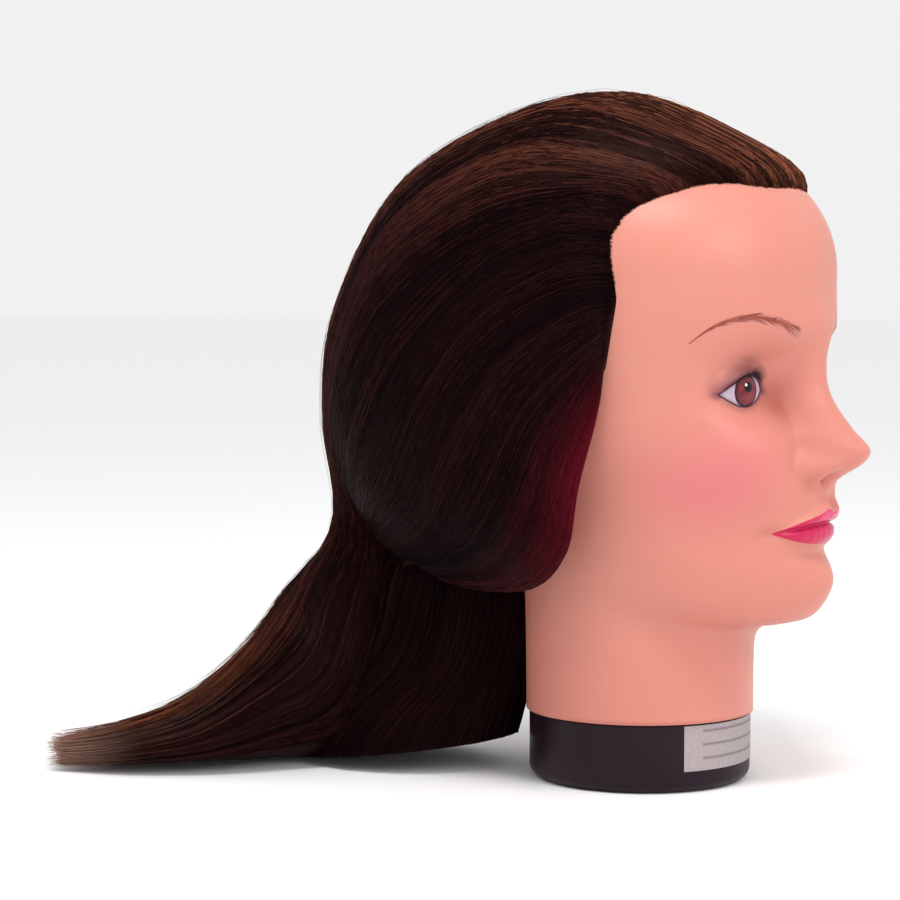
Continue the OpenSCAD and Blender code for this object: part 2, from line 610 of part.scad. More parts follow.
neck_base();
base_plate();
base_screws();
clamp_socket();
socket_cap();
foam_core();
face_skin();
scalp_cap();
root_lock();
eye_print_right();
eye_print_left();
eyelash_right();
eyelash_left();
label();
hair_front();
hair_crown();
hair_side_right();
hair_side_left();
hair_back();
hair_nape();
hair_tail();
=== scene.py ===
"""Mannequin training head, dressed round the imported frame: skin, painted face, hair and base finishes.

Lengths inside the form classes are in millimetres as (side, forward, up), with side toward the head's
left, forward out of the face and up from the table. `placed` turns them into the frame's metres.
"""

import logging
import math
from dataclasses import dataclass, field
from enum import Enum

import bpy
import numpy as np
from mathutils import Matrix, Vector


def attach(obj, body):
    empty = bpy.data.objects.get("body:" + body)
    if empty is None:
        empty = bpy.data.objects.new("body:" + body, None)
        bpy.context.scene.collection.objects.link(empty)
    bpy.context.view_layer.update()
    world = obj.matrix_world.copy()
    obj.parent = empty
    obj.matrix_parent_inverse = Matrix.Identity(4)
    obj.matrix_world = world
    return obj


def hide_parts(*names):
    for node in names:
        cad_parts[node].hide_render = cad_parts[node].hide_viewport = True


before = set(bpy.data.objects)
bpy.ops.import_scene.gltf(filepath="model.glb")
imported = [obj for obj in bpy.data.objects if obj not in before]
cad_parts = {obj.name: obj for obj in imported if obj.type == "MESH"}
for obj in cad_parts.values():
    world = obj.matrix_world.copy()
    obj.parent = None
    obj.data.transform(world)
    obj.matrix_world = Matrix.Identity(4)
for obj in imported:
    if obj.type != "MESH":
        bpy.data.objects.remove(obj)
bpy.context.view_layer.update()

Array = np.ndarray
Socket = bpy.types.NodeSocket
Piece = bpy.types.Object
Colour = tuple[float, float, float, float]

log = logging.getLogger("training_head")
MM = 0.001
COLLAR = 27.5  # height of the hard band
DRAWN_COLLAR = 23.0  # height of the band that the head's sections are drawn for
TABLE_GAP = 0.45  # least height of the hair's bodies over the table
STRAND_SIDES = 3
TINY = 1e-6  # keeps a length from dividing by nothing
BEHIND = -200.0  # forward distance that is behind all of the head
STEPS = 1201  # even places that uneven ones are spaced from


class Side(Enum):
    """Side of the head, as the sign of the side direction."""

    RIGHT = -1
    LEFT = 1


# ---------------------------------------------------------------- numbers and curves


def smooth(low: float, high: float, x: Array) -> Array:
    """Eases from 0 at low to 1 at high: t squared times (3 - 2t)."""
    t = np.clip((np.asarray(x, float) - low) / (high - low), 0, 1)
    return t * t * (3 - 2 * t)


def mix(a: Array, b: Array, t: Array) -> Array:
    """Straight blend from a to b."""
    return a + (b - a) * t


def bell(d: Array, width: float, power: float = 2.0) -> Array:
    """Bump that is 1 at d = 0 and falls off as exp(-(|d| / width) ** power)."""
    return np.exp(-((np.abs(d) / width) ** power))


def spline_weights(t: Array) -> tuple[Array, Array, Array, Array]:
    """Weights of four neighbouring knots on a Catmull-Rom curve.

    Args:
        t: places between the second and third knot, 0 to 1.
    Returns:
        One array of weights for each knot.
    """
    return (
        0.5 * (-t + 2 * t**2 - t**3),
        0.5 * (2 - 5 * t**2 + 3 * t**3),
        0.5 * (t + 4 * t**2 - 3 * t**3),
        0.5 * (t**3 - t**2),
    )


def along(knots: Array, s: Array) -> Array:
    """Points on a smooth curve through knots.

    Args:
        knots: array of knots, one row each.
        s: places counted along the rows, of any shape.
    Returns:
        Array of s's shape with the knots' columns added.
    """
    last = len(knots) - 1
    s = np.clip(np.asarray(s, float), 0, last)
    i = np.minimum(np.floor(s).astype(int), last - 1)
    total = 0.0
    for k, w in enumerate(spline_weights(s - i)):
        total = total + knots[np.clip(i + k - 1, 0, last)] * w[..., None]
    return total


def spaced(even: Array, weight: Array, count: int) -> Array:
    """Places count stations between even's ends, closer together where weight is higher.

    Args:
        even: evenly spaced places.
        weight: wanted density at each.
        count: number of stations, the last end left out.
    Returns:
        The stations.
    """
    share = np.concatenate([[0], np.cumsum((weight[1:] + weight[:-1]) / 2)])
    return np.interp(np.linspace(0, share[-1], count, endpoint=False), share, even)


def placed(p: Array) -> Array:
    """Turns (side, forward, up) in millimetres into the frame's metres, face toward -Y.

    Heights above the drawn collar are raised by the band's extra height; those below are stretched to it.
    Args:
        p: points in millimetres.
    Returns:
        Points in metres.
    """
    z = p[..., 2]
    up = np.where(z < DRAWN_COLLAR, z * COLLAR / DRAWN_COLLAR, z + COLLAR - DRAWN_COLLAR)
    return np.stack([p[..., 0], -p[..., 1], up], -1) * MM


def unit(v: Array, tiny: float = TINY) -> Array:
    """Directions of length 1: each divided by the root of its squares' sum, with tiny added."""
    return v / (np.linalg.norm(v, axis=-1, keepdims=True) + tiny)


# ---------------------------------------------------------------- meshes


def build_mesh(name: str, points: Array, faces: list[Array], smooth_shade: bool = True) -> Piece:
    """Makes an object from points and arrays of faces.

    Args:
        name: name of the piece.
        points: (n, 3) places in metres.
        faces: arrays of vertex numbers, each (m, corners).
        smooth_shade: whether faces are shaded smoothly.
    Returns:
        The new object, linked to the scene.
    """
    mesh = bpy.data.meshes.new(name)
    corners = np.concatenate([f.ravel() for f in faces]).astype(np.int32)
    sizes = np.concatenate([np.full(len(f), f.shape[1]) for f in faces])
    mesh.vertices.add(len(points))
    mesh.vertices.foreach_set("co", np.ascontiguousarray(points, np.float32).ravel())
    mesh.loops.add(len(corners))
    mesh.loops.foreach_set("vertex_index", corners)
    mesh.polygons.add(len(sizes))
    mesh.polygons.foreach_set("loop_start", np.concatenate([[0], np.cumsum(sizes)[:-1]]).astype(np.int32))
    mesh.polygons.foreach_set("use_smooth", np.full(len(sizes), smooth_shade))
    mesh.update(calc_edges=True)
    mesh.validate()
    piece = bpy.data.objects.new(name, mesh)
    bpy.context.scene.collection.objects.link(piece)
    return piece


def tube_faces(rows: int, cols: int) -> Array:
    """Quads of a grid whose columns close on themselves.

    Args:
        rows: number of rows of vertices.
        cols: number of columns.
    Returns:
        (quads, 4) vertex numbers.
    """
    n = np.arange(rows * cols).reshape(rows, cols)
    right = np.roll(n, -1, axis=1)
    return np.stack([n[:-1], right[:-1], right[1:], n[1:]], -1).reshape(-1, 4)


def closed_rings(name: str, rings: Array) -> Piece:
    """Closed solid through rings of points, with a fan to the middle at each end.

    Args:
        name: name of the piece.
        rings: (rows, cols, 3) points in metres; rows run so that the faces look outwards.
    Returns:
        The new object.
    """
    rows, cols = rings.shape[:2]
    points = np.concatenate([rings.reshape(-1, 3), rings[:1].mean(1), rings[-1:].mean(1)])
    ring = np.arange(cols)
    after = (ring + 1) % cols
    start = np.stack([after, ring, np.full(cols, rows * cols)], -1)
    end = np.stack([ring, after, np.full(cols, rows * cols + 1)], -1)
    end[:, :2] += (rows - 1) * cols
    return build_mesh(name, points, [tube_faces(rows, cols), start, end])


def give(piece: Piece, name: str, values: Array) -> None:
    """Stores one number per vertex on the piece under a name that its material reads."""
    data = piece.data.attributes.new(name, "FLOAT", "POINT")
    data.data.foreach_set("value", np.ascontiguousarray(values, np.float32).ravel())


def strands(name: str, paths: Array, radius: Array, outward: Array) -> Piece:
    """Many thin three-sided closed strands as one piece.

    Each strand's section is a triangle in the plane of two directions square to its path: one nearest to
    outward, the other their cross product. The ends are closed by one triangle each.

    Args:
        name: name of the piece.
        paths: (strands, knots, 3) middle lines in metres.
        radius: (strands, knots) half thickness in metres.
        outward: (strands, knots, 3) directions away from what the strands lie on.
    Returns:
        The new object.
    """
    n, k = paths.shape[:2]
    run = unit(np.gradient(paths, axis=1), TINY * MM)
    across = unit(np.cross(run, outward), TINY * MM)
    up = np.cross(across, run)
    turn = 2 * math.pi * np.arange(STRAND_SIDES) / STRAND_SIDES + math.pi / 2
    ring = across[:, :, None] * np.cos(turn)[:, None] + up[:, :, None] * np.sin(turn)[:, None]
    points = paths[:, :, None] + ring * radius[:, :, None, None]
    index = np.arange(n * k * STRAND_SIDES).reshape(n, k, STRAND_SIDES)
    nxt = np.roll(index, -1, axis=2)
    walls = np.stack([index[:, :-1], nxt[:, :-1], nxt[:, 1:], index[:, 1:]], -1).reshape(-1, 4)
    caps = np.concatenate([index[:, 0, ::-1], index[:, -1]])
    return build_mesh(name, points.reshape(-1, 3), [walls, caps])


def give_strands(piece: Piece, amounts: dict[str, Array]) -> None:
    """Stores each amount of a knot, (strands, knots), on all the vertices of that knot's section."""
    for name, value in amounts.items():
        give(piece, name, np.repeat(value[..., None], STRAND_SIDES, axis=-1))


# ---------------------------------------------------------------- node materials


@dataclass
class Nodes:
    """Short helper that lays out a material's nodes and links them."""

    name: str
    material: bpy.types.Material = field(init=False)

    def __post_init__(self) -> None:
        """Starts an empty node material with a principled shader."""
        self.material = bpy.data.materials.new(self.name)
        self.material.use_nodes = True
        self.tree = self.material.node_tree
        self.shader = self.tree.nodes["Principled BSDF"]

    def add(self, kind: str, **settings: object) -> bpy.types.Node:
        """Adds a node.

        Args:
            kind: its type without the leading ShaderNode.
            settings: its properties by name.
        Returns:
            The node.
        """
        node = self.tree.nodes.new("ShaderNode" + kind)
        for key, value in settings.items():
            setattr(node, key, value)
        return node

    def link(self, out: Socket, into: Socket) -> None:
        """Links two sockets."""
        self.tree.links.new(out, into)

    def feed(self, socket: Socket, value: object) -> None:
        """Fills a socket.

        Args:
            socket: the socket to fill.
            value: a number or colour to set, a socket to link, or None to leave it alone.
        """
        if isinstance(value, Socket):
            self.link(value, socket)
        elif value is not None:
            socket.default_value = value

    def read(self, name: str) -> Socket:
        """Value of a named attribute of the piece."""
        return self.add("Attribute", attribute_name=name).outputs["Fac"]

    def math(self, operation: str, a: object, b: object = None) -> Socket:
        """One step of arithmetic.

        Args:
            operation: the Math node's operation.
            a: first number or socket.
            b: second number or socket, or None.
        Returns:
            The result.
        """
        node = self.add("Math", operation=operation)
        self.feed(node.inputs[0], a)
        self.feed(node.inputs[1], b)
        return node.outputs[0]

    def share(self, value: object, part: object) -> Socket:
        """Value times part."""
        return self.math("MULTIPLY", value, part)

    def ease(self, value: object, low: float, high: float, to_low: float = 0.0,
             to_high: float = 1.0) -> Socket:
        """Eases value from to_low at low to to_high at high.

        Args:
            value: number or socket.
            low, high: ends of the span that is eased over.
            to_low, to_high: results at and past those ends.
        Returns:
            The eased value.
        """
        node = self.add("MapRange", interpolation_type="SMOOTHSTEP")
        for socket, number in zip(node.inputs, (value, low, high, to_low, to_high)):
            self.feed(socket, number)
        return node.outputs[0]

    def blend(self, factor: object, a: object, b: object) -> Socket:
        """Mixes two colours.

        Args:
            factor: 0 for a, 1 for b; number or socket.
            a: first colour or socket.
            b: second colour or socket.
        Returns:
            The mixed colour.
        """
        node = self.add("Mix", data_type="RGBA")
        self.feed(node.inputs["Factor"], factor)
        colours = [socket for socket in node.inputs if socket.type == "RGBA"]
        self.feed(colours[0], a)
        self.feed(colours[1], b)
        return next(socket for socket in node.outputs if socket.type == "RGBA")

    def noise(self, scale: float, detail: float = 4.0,
              stretch: tuple[float, float, float] | None = None) -> Socket:
        """Soft noise on object coordinates.

        Args:
            scale: turns of noise in a metre.
            detail: how many finer layers are added.
            stretch: factor on each axis, or None.
        Returns:
            The noise, 0 to 1.
        """
        place = self.add("TexCoord").outputs["Object"]
        if stretch:
            mapping = self.add("Mapping")
            self.link(place, mapping.inputs["Vector"])
            mapping.inputs["Scale"].default_value = stretch
            place = mapping.outputs["Vector"]
        node = self.add("TexNoise")
        self.link(place, node.inputs["Vector"])
        node.inputs["Scale"].default_value = scale
        node.inputs["Detail"].default_value = detail
        return node.outputs["Fac"]

    def bump(self, height: Socket, depth: float, strength: float) -> None:
        """Roughens the surface.

        Args:
            height: height, 0 to 1.
            depth: how deep a height of 1 is, in metres.
            strength: how much of it shows.
        """
        node = self.add("Bump")
        node.inputs["Strength"].default_value = strength
        node.inputs["Distance"].default_value = depth
        self.link(height, node.inputs["Height"])
        self.link(node.outputs["Normal"], self.shader.inputs["Normal"])

    def set(self, **values: object) -> None:
        """Sets or feeds the shader's sockets, with _ for a space in a name."""
        for key, value in values.items():
            self.feed(self.shader.inputs[key.replace("_", " ")], value)


@dataclass(frozen=True)
class SoftSkin:
    """Peach soft vinyl with lips, blush and eye shadow painted on it, plus painted shade in the face's
    recesses and a painted highlight on the lips.
    """

    flesh: Colour = (0.585, 0.208, 0.158, 1)
    flesh_light: Colour = (0.62, 0.232, 0.176, 1)
    blush: Colour = (0.68, 0.150, 0.185, 1)
    lip: Colour = (0.50, 0.002, 0.064, 1)
    lip_highlight: Colour = (0.76, 0.13, 0.27, 1)
    shadow: Colour = (0.11, 0.018, 0.038, 1)
    liner: Colour = (0.022, 0.006, 0.016, 1)
    recess_shade: Colour = (0.36, 0.075, 0.045, 1)
    brow: Colour = (0.26, 0.075, 0.07, 1)
    cover: tuple[float, float, float, float] = (0.6, 0.92, 0.93, 0.42)  # of blush, painted recess shade, eye shadow and brow
    reach: tuple[float, float, float] = (1.0, 0.35, 0.22)  # how far each colour of light spreads inside

    def material(self) -> bpy.types.Material:
        """Builds the material.

        The skin's colour is noise between two fleshes; blush, painted shade in the recesses, eye shadow,
        liner and lips with their painted highlight are mixed over it by the amounts stored on the mesh, with
        crisp edges eased over a third of a millimetre.
        Returns:
            The node material.
        """
        m = Nodes("soft_skin")
        cloud = m.ease(m.noise(9.0, 3.0), 0.35, 0.65)
        colour = m.blend(cloud, self.flesh, self.flesh_light)
        paints = {"blush": self.blush, "recess_shade": self.recess_shade, "shadow": self.shadow, "brow": self.brow}
        for (name, paint), part in zip(paints.items(), self.cover):
            colour = m.blend(m.share(m.read(name), part), colour, paint)
        colour = m.blend(m.ease(m.read("liner"), -0.45, 0.40), colour, self.liner)
        lip = m.ease(m.read("lip_edge"), -0.12, 0.22)
        # painted highlight: the lips' middle front, mostly the upper lip, turns to the lighter lip colour,
        # broken into streaks by noise
        streak = m.ease(m.noise(520.0, 2.0, (1.0, 0.3, 0.12)), 0.42, 0.66, 0.15, 0.95)
        front = m.share(streak, m.read("lip_highlight_share"))
        colour = m.blend(lip, colour, m.blend(front, self.lip, self.lip_highlight))
        m.set(Base_Color=colour, Roughness=m.ease(lip, 0, 1, 0.42, 0.27))
        m.set(Subsurface_Weight=0.18, Subsurface_Scale=0.006, Specular_IOR_Level=0.36)
        m.set(Subsurface_Radius=self.reach)
        m.bump(m.noise(1400.0, 2.0), 0.06 * MM, 0.35)
        return m.material


@dataclass(frozen=True)
class EyeGloss:
    """Printed eye: plum-brown iris, dark rim, white to the side, under clear gloss, with a painted highlight
    above the pupil and painted shade at the lids.
    """

    white: Colour = (0.46, 0.36, 0.43, 1)
    white_shade: Colour = (0.30, 0.18, 0.25, 1)
    iris: Colour = (0.12, 0.014, 0.022, 1)
    iris_light: Colour = (0.22, 0.036, 0.05, 1)
    rim: Colour = (0.016, 0.004, 0.010, 1)
    pupil: Colour = (0.006, 0.003, 0.005, 1)
    painted_glint: Colour = (0.95, 0.95, 0.97, 1)
    iris_r: float = 6.1
    pupil_r: float = 1.95

    def material(self) -> bpy.types.Material:
        """Builds the material from the distances stored on the eye's surface, in millimetres.

        Returns:
            The node material.
        """
        m = Nodes("eye_gloss")
        r = m.read("from_iris")
        iris = m.blend(m.ease(m.read("iris_rays"), 0.35, 0.9), self.iris, self.iris_light)
        iris = m.blend(m.ease(r, self.iris_r * 0.55, self.iris_r * 0.95, 0.0, 0.75), iris, self.iris)
        iris = m.blend(m.share(m.read("iris_glow"), 0.85), iris, self.iris_light)
        iris = m.blend(m.ease(r, self.iris_r - 0.95, self.iris_r - 0.35), iris, self.rim)
        pupil = m.read("from_pupil")
        iris = m.blend(m.ease(pupil, self.pupil_r + 0.3, self.pupil_r - 0.15), iris, self.pupil)
        # painted shade: the white darkens toward the lids, and the ball turns near black at and under the lid
        # edges
        white = m.blend(m.ease(m.read("lid_depth"), 1.6, 0.0), self.white, self.white_shade)
        colour = m.blend(m.ease(r, self.iris_r + 0.25, self.iris_r - 0.1), white, iris)
        colour = m.blend(m.ease(m.read("lid_depth"), 0.7, 0.15, 0.0, 0.85), colour, self.rim)
        # painted highlight: white spot near the pupil
        colour = m.blend(m.ease(m.read("from_painted_glint"), 0.72, 0.42), colour, self.painted_glint)
        m.set(Base_Color=colour, Roughness=0.14, Specular_IOR_Level=0.22)
        return m.material


@dataclass(frozen=True)
class Hair:
    """Glossy dark brown hair: lighter where a painted highlight in the light colour shows, redder where red
    shows, greyed at the tips.
    """

    name: str = "hair"
    dark: Colour = (0.0035, 0.0012, 0.0022, 1)
    brown: Colour = (0.052, 0.012, 0.012, 1)
    light: Colour = (0.30, 0.095, 0.046, 1)
    red: Colour = (0.16, 0.004, 0.017, 1)
    tip: Colour = (0.50, 0.29, 0.22, 1)
    sheen: Colour = (1.0, 0.5, 0.4, 1)
    ior: float = 1.15
    roughness: float = 0.33

    def material(self) -> bpy.types.Material:
        """Builds the material: tone picks dark to brown, then the painted highlight's light colour, red and
        tip are mixed in by amount.

        Returns:
            The node material.
        """
        m = Nodes(self.name)
        tone = m.read("tone")
        colour = m.blend(tone, self.dark, self.brown)
        # painted highlight: light colour mixed in over the top and along the tail
        painted_highlight = m.share(m.read("painted_highlight"), m.ease(tone, 0.05, 0.8, 0.08, 1.0))
        red = m.share(m.read("red"), m.ease(tone, 0.0, 0.5, 0.45, 0.95))
        for amount, paint in ((painted_highlight, self.light), (red, self.red), (m.read("tip"), self.tip)):
            colour = m.blend(amount, colour, paint)
        m.set(Base_Color=colour, Roughness=self.roughness, IOR=self.ior)
        m.set(Specular_Tint=self.sheen, Anisotropic=0.35)
        return m.material


@dataclass(frozen=True)
class Moulding:
    """Moulded plastic with a fine grain and a little unevenness in its shine."""

    name: str
    colour: Colour
    worn: Colour
    roughness: float = 0.38
    grain: float = 900.0
    shine: float = 0.28

    def material(self) -> bpy.types.Material:
        """Builds the material: two noises, one for the colour's patches and one for the shine.

        Returns:
            The node material.
        """
        m = Nodes(self.name)
        patch = m.ease(m.noise(26.0, 4.0), 0.3, 0.75)
        m.set(Base_Color=m.blend(patch, self.colour, self.worn))
        m.set(Roughness=m.ease(m.noise(60.0, 5.0), 0.3, 0.7, self.roughness - 0.05, self.roughness + 0.1))
        m.set(Specular_IOR_Level=self.shine)
        m.bump(m.noise(self.grain, 3.0), 0.08 * MM, 0.4)
        return m.material


@dataclass(frozen=True)
class LabelPaper:
    """Off-white paper label with plain grey rules in place of print."""

    paper: Colour = (0.335, 0.285, 0.295, 1)
    ink: Colour = (0.10, 0.08, 0.09, 1)
    fibre: Colour = (0.62, 0.6, 0.57, 1)
    pitch: float = 0.0054
    rule: float = 0.10
    half_line: float = 0.0235

    def material(self) -> bpy.types.Material:
        """Builds the material: rules are where the height's remainder over the pitch is near a half.

        Returns:
            The node material.
        """
        m = Nodes("label_paper")
        place = m.add("TexCoord").outputs["Object"]
        split = m.add("SeparateXYZ")
        m.link(place, split.inputs[0])
        step = m.math("FRACT", m.math("DIVIDE", split.outputs["Z"], self.pitch))
        rule = m.math("LESS_THAN", m.math("ABSOLUTE", m.math("SUBTRACT", step, 0.5)), self.rule)
        across = m.math("LESS_THAN", m.math("ABSOLUTE", split.outputs["X"]), self.half_line)
        fibre = m.ease(m.noise(700.0, 5.0), 0.3, 0.7)
        paper = m.blend(m.share(fibre, 0.12), self.paper, self.fibre)
        ink = m.share(m.share(rule, across), 0.55)
        m.set(Base_Color=m.blend(ink, paper, self.ink), Roughness=0.7)
        m.bump(m.noise(1600.0, 3.0), 0.04 * MM, 0.4)
        return m.material


@dataclass(frozen=True)
class Steel:
    """Plated steel of the small screws."""

    colour: Colour = (0.62, 0.63, 0.66, 1)

    def material(self) -> bpy.types.Material:
        """Builds the material: metal with noise in its roughness.

        Returns:
            The node material.
        """
        m = Nodes("plated_steel")
        m.set(Base_Color=self.colour, Metallic=1.0)
        m.set(Roughness=m.ease(m.noise(300.0, 4.0), 0.3, 0.7, 0.22, 0.38))
        return m.material


# ---------------------------------------------------------------- the head's form


@dataclass(frozen=True)
class EyeForm:
    """One eye: a ball behind an almond opening."""

    ball: tuple[float, float, float] = (26.5, 40.6, 155.0)
    radius: float = 21.0
    inner: float = 23.2
    outer: float = 43.6
    middle: float = 153.9
    above: float = 6.9
    below: float = 5.2
    iris: tuple[float, float] = (33.2, 154.4)
    pupil: tuple[float, float] = (33.0, 155.9)

    def gap(self, x: Array) -> tuple[Array, Array]:
        """Lower and upper edge of the opening at each side distance.

        Each edge is the middle line less or plus a sine arch, skewed toward the nose and flattened by powers.
        Args:
            x: side distances.
        Returns:
            Heights of the two edges.
        """
        s = np.clip((x - self.inner) / (self.outer - self.inner), 0, 1)
        line = self.middle - 0.9 * s
        low = line - self.below * np.sin(math.pi * s**0.98) ** 0.85
        high = line + self.above * np.sin(math.pi * s**0.84) ** 0.74
        return low, high

    def front(self, x: Array, z: Array) -> Array:
        """How far forward the ball reaches, from the circle equation; far back where it does not."""
        q = self.radius**2 - (x - self.ball[0]) ** 2 - (z - self.ball[2]) ** 2
        return np.where(q > 0, self.ball[1] + np.sqrt(np.maximum(q, 0)), BEHIND)

    def depth(self, x: Array, z: Array) -> Array:
        """Distance inside the opening: the least of those to its edges and its ends.

        Args:
            x: side distances.
            z: heights.
        Returns:
            Distances, negative outside.
        """
        low, high = self.gap(x)
        ends = np.minimum(x - self.inner, self.outer - x)
        return np.minimum(np.minimum(high - z, z - low), ends * 1.2)


@dataclass(frozen=True)
class MouthForm:
    """Painted lips: a parting line with an upper and a lower edge."""

    half: float = 25.0
    z: float = 102.3
    drop: float = 3.2

    def lines(self, x: Array) -> tuple[Array, Array, Array, Array]:
        """The lips' lines; each lip's height is a power of a circle, with a bow in the upper one.

        Args:
            x: side distances.
        Returns:
            Parting height, heights of the upper and the lower lip, and place from middle to corner.
        """
        t = np.clip(x / self.half, 0, 1)
        part = self.z - self.drop * t**1.7
        up = 5.0 * (1 - t**2.0) ** 0.95 + 1.2 * bell(x - 5.5, 3.0) - 0.7 * bell(x, 2.6)
        low = 8.2 * (1 - t**2.2) ** 0.9
        return part, np.maximum(up, 0.02), np.maximum(low, 0.02), t

    def edge(self, x: Array, z: Array) -> Array:
        """Distance inside the painted lips: the less of those to the upper and lower edge.

        Args:
            x: side distances.
            z: heights.
        Returns:
            Distances, negative outside.
        """
        part, up, low, _ = self.lines(x)
        inside = np.minimum(part + up - z, z - (part - low))
        return np.where(x < self.half, inside, -1.0)

    def relief(self, x: Array, z: Array) -> Array:
        """How far the lips stand out: each rises from the parting by a root and falls off past its edge.

        Args:
            x: side distances.
            z: heights.
        Returns:
            Distances outward, negative in the parting and the corners.
        """
        part, up, low, t = self.lines(x)
        fade = 1 - np.clip(x / (self.half + 1.0), 0, 1) ** 2.2
        a, b = (z - part) / up, (part - z) / low
        upper = 2.9 * np.clip(a, 0, 1) ** 0.5 * (1 - smooth(0.6, 1.9, a))
        lower = 3.2 * np.clip(b, 0, 1) ** 0.5 * (1 - smooth(0.5, 1.45, b))
        lips = fade * np.where(a >= 0, upper, lower)
        parting = 1.5 * bell(z - part, 1.0) * (1 - t**4)
        corner = 1.3 * bell(x - self.half - 0.5, 3.0) * bell(z - self.z + self.drop + 0.4, 2.6)
        return np.where(x < self.half + 3, lips, 0) - parting - corner


SECTIONS = np.array([
    # front z, back z, front, back, half width, middle, front power, back power, underside
    [213, 213, 78.4, -111, 75, -16, 2.2, 2.2, 0],
    [200, 200, 78.2, -111, 75, -16, 2.2, 2.2, 0],
    [188, 188, 78.6, -111.5, 75.2, -16, 2.12, 2.2, 0],
    [176, 176, 77.2, -110, 74.8, -15.5, 2.05, 2.2, 0],
    [164, 164.5, 74.6, -107, 73.8, -15, 2, 2.2, 0],
    [152, 153.5, 74, -102, 72.2, -13.5, 1.98, 2.15, 0],
    [140, 142.5, 75, -95, 70.2, -11, 1.98, 2.1, 0],
    [128, 132, 77.4, -86, 67.4, -8, 1.95, 2.1, 0],
    [116, 122, 79.6, -77, 63.6, -5, 1.88, 2.05, 0],
    [104, 112.5, 79, -68, 59.6, -2, 1.84, 2, 0],
    [92.5, 104, 77.6, -61, 56, 1, 1.82, 2, 0],
    [80, 96, 79.4, -55, 52.8, 3, 1.82, 2, 0],
    [70, 90, 77.4, -52, 50.6, 4, 1.84, 2, 0.3],
    [64.2, 86, 72.6, -50, 49, 4, 1.86, 2, 0.8],
    [61.4, 81, 63, -48.6, 47.8, 2.5, 1.9, 2, 1],
    [59.6, 75, 53.5, -47.6, 46.9, 1, 1.95, 2, 0.8],
    [54, 66, 47.4, -47, 46.4, 0.3, 2, 2, 0.3],
    [43, 50, 46.4, -46.6, 46.3, 0, 2, 2, 0],
    [32, 35, 46.3, -46.4, 46.3, 0, 2, 2, 0],
    [23, 23, 46.3, -46.3, 46.3, 0, 2, 2, 0],
    [13, 10, 46.3, -46.3, 46.3, 0, 2, 2, 0],
])
NOSE = np.array([
    # height, how far it stands out, half width of the ridge, half width at the cheek; bottom first
    [111, 0, 2, 9], [115, 1, 2.4, 10], [118.5, 3.4, 2.8, 11], [121, 7.6, 3.2, 12],
    [123.5, 12.6, 3.5, 12.4], [126, 16.8, 3.9, 12.8], [129, 19.7, 4.2, 13.4], [131.5, 20.4, 4.4, 14.2],
    [134.5, 18.6, 4, 15.2], [138, 15.7, 3.4, 15.5], [143, 12.6, 3, 14.8], [147.5, 9.8, 2.8, 14],
    [152, 7.6, 2.8, 13.4], [157, 5.9, 3, 13], [164, 4.8, 3.2, 13], [169, 3.8, 3.2, 13.4],
    [174, 3, 3, 14], [180, 2, 3, 15], [188, 0.6, 3, 15],
])
BROW_LINE = np.array([
    # turn round the head in radians, row down it; from the nose end to the tail
    [0.197, 1.98], [0.313, 1.66], [0.384, 1.53], [0.476, 1.45], [0.585, 1.60], [0.663, 1.86], [0.74, 2.28],
])


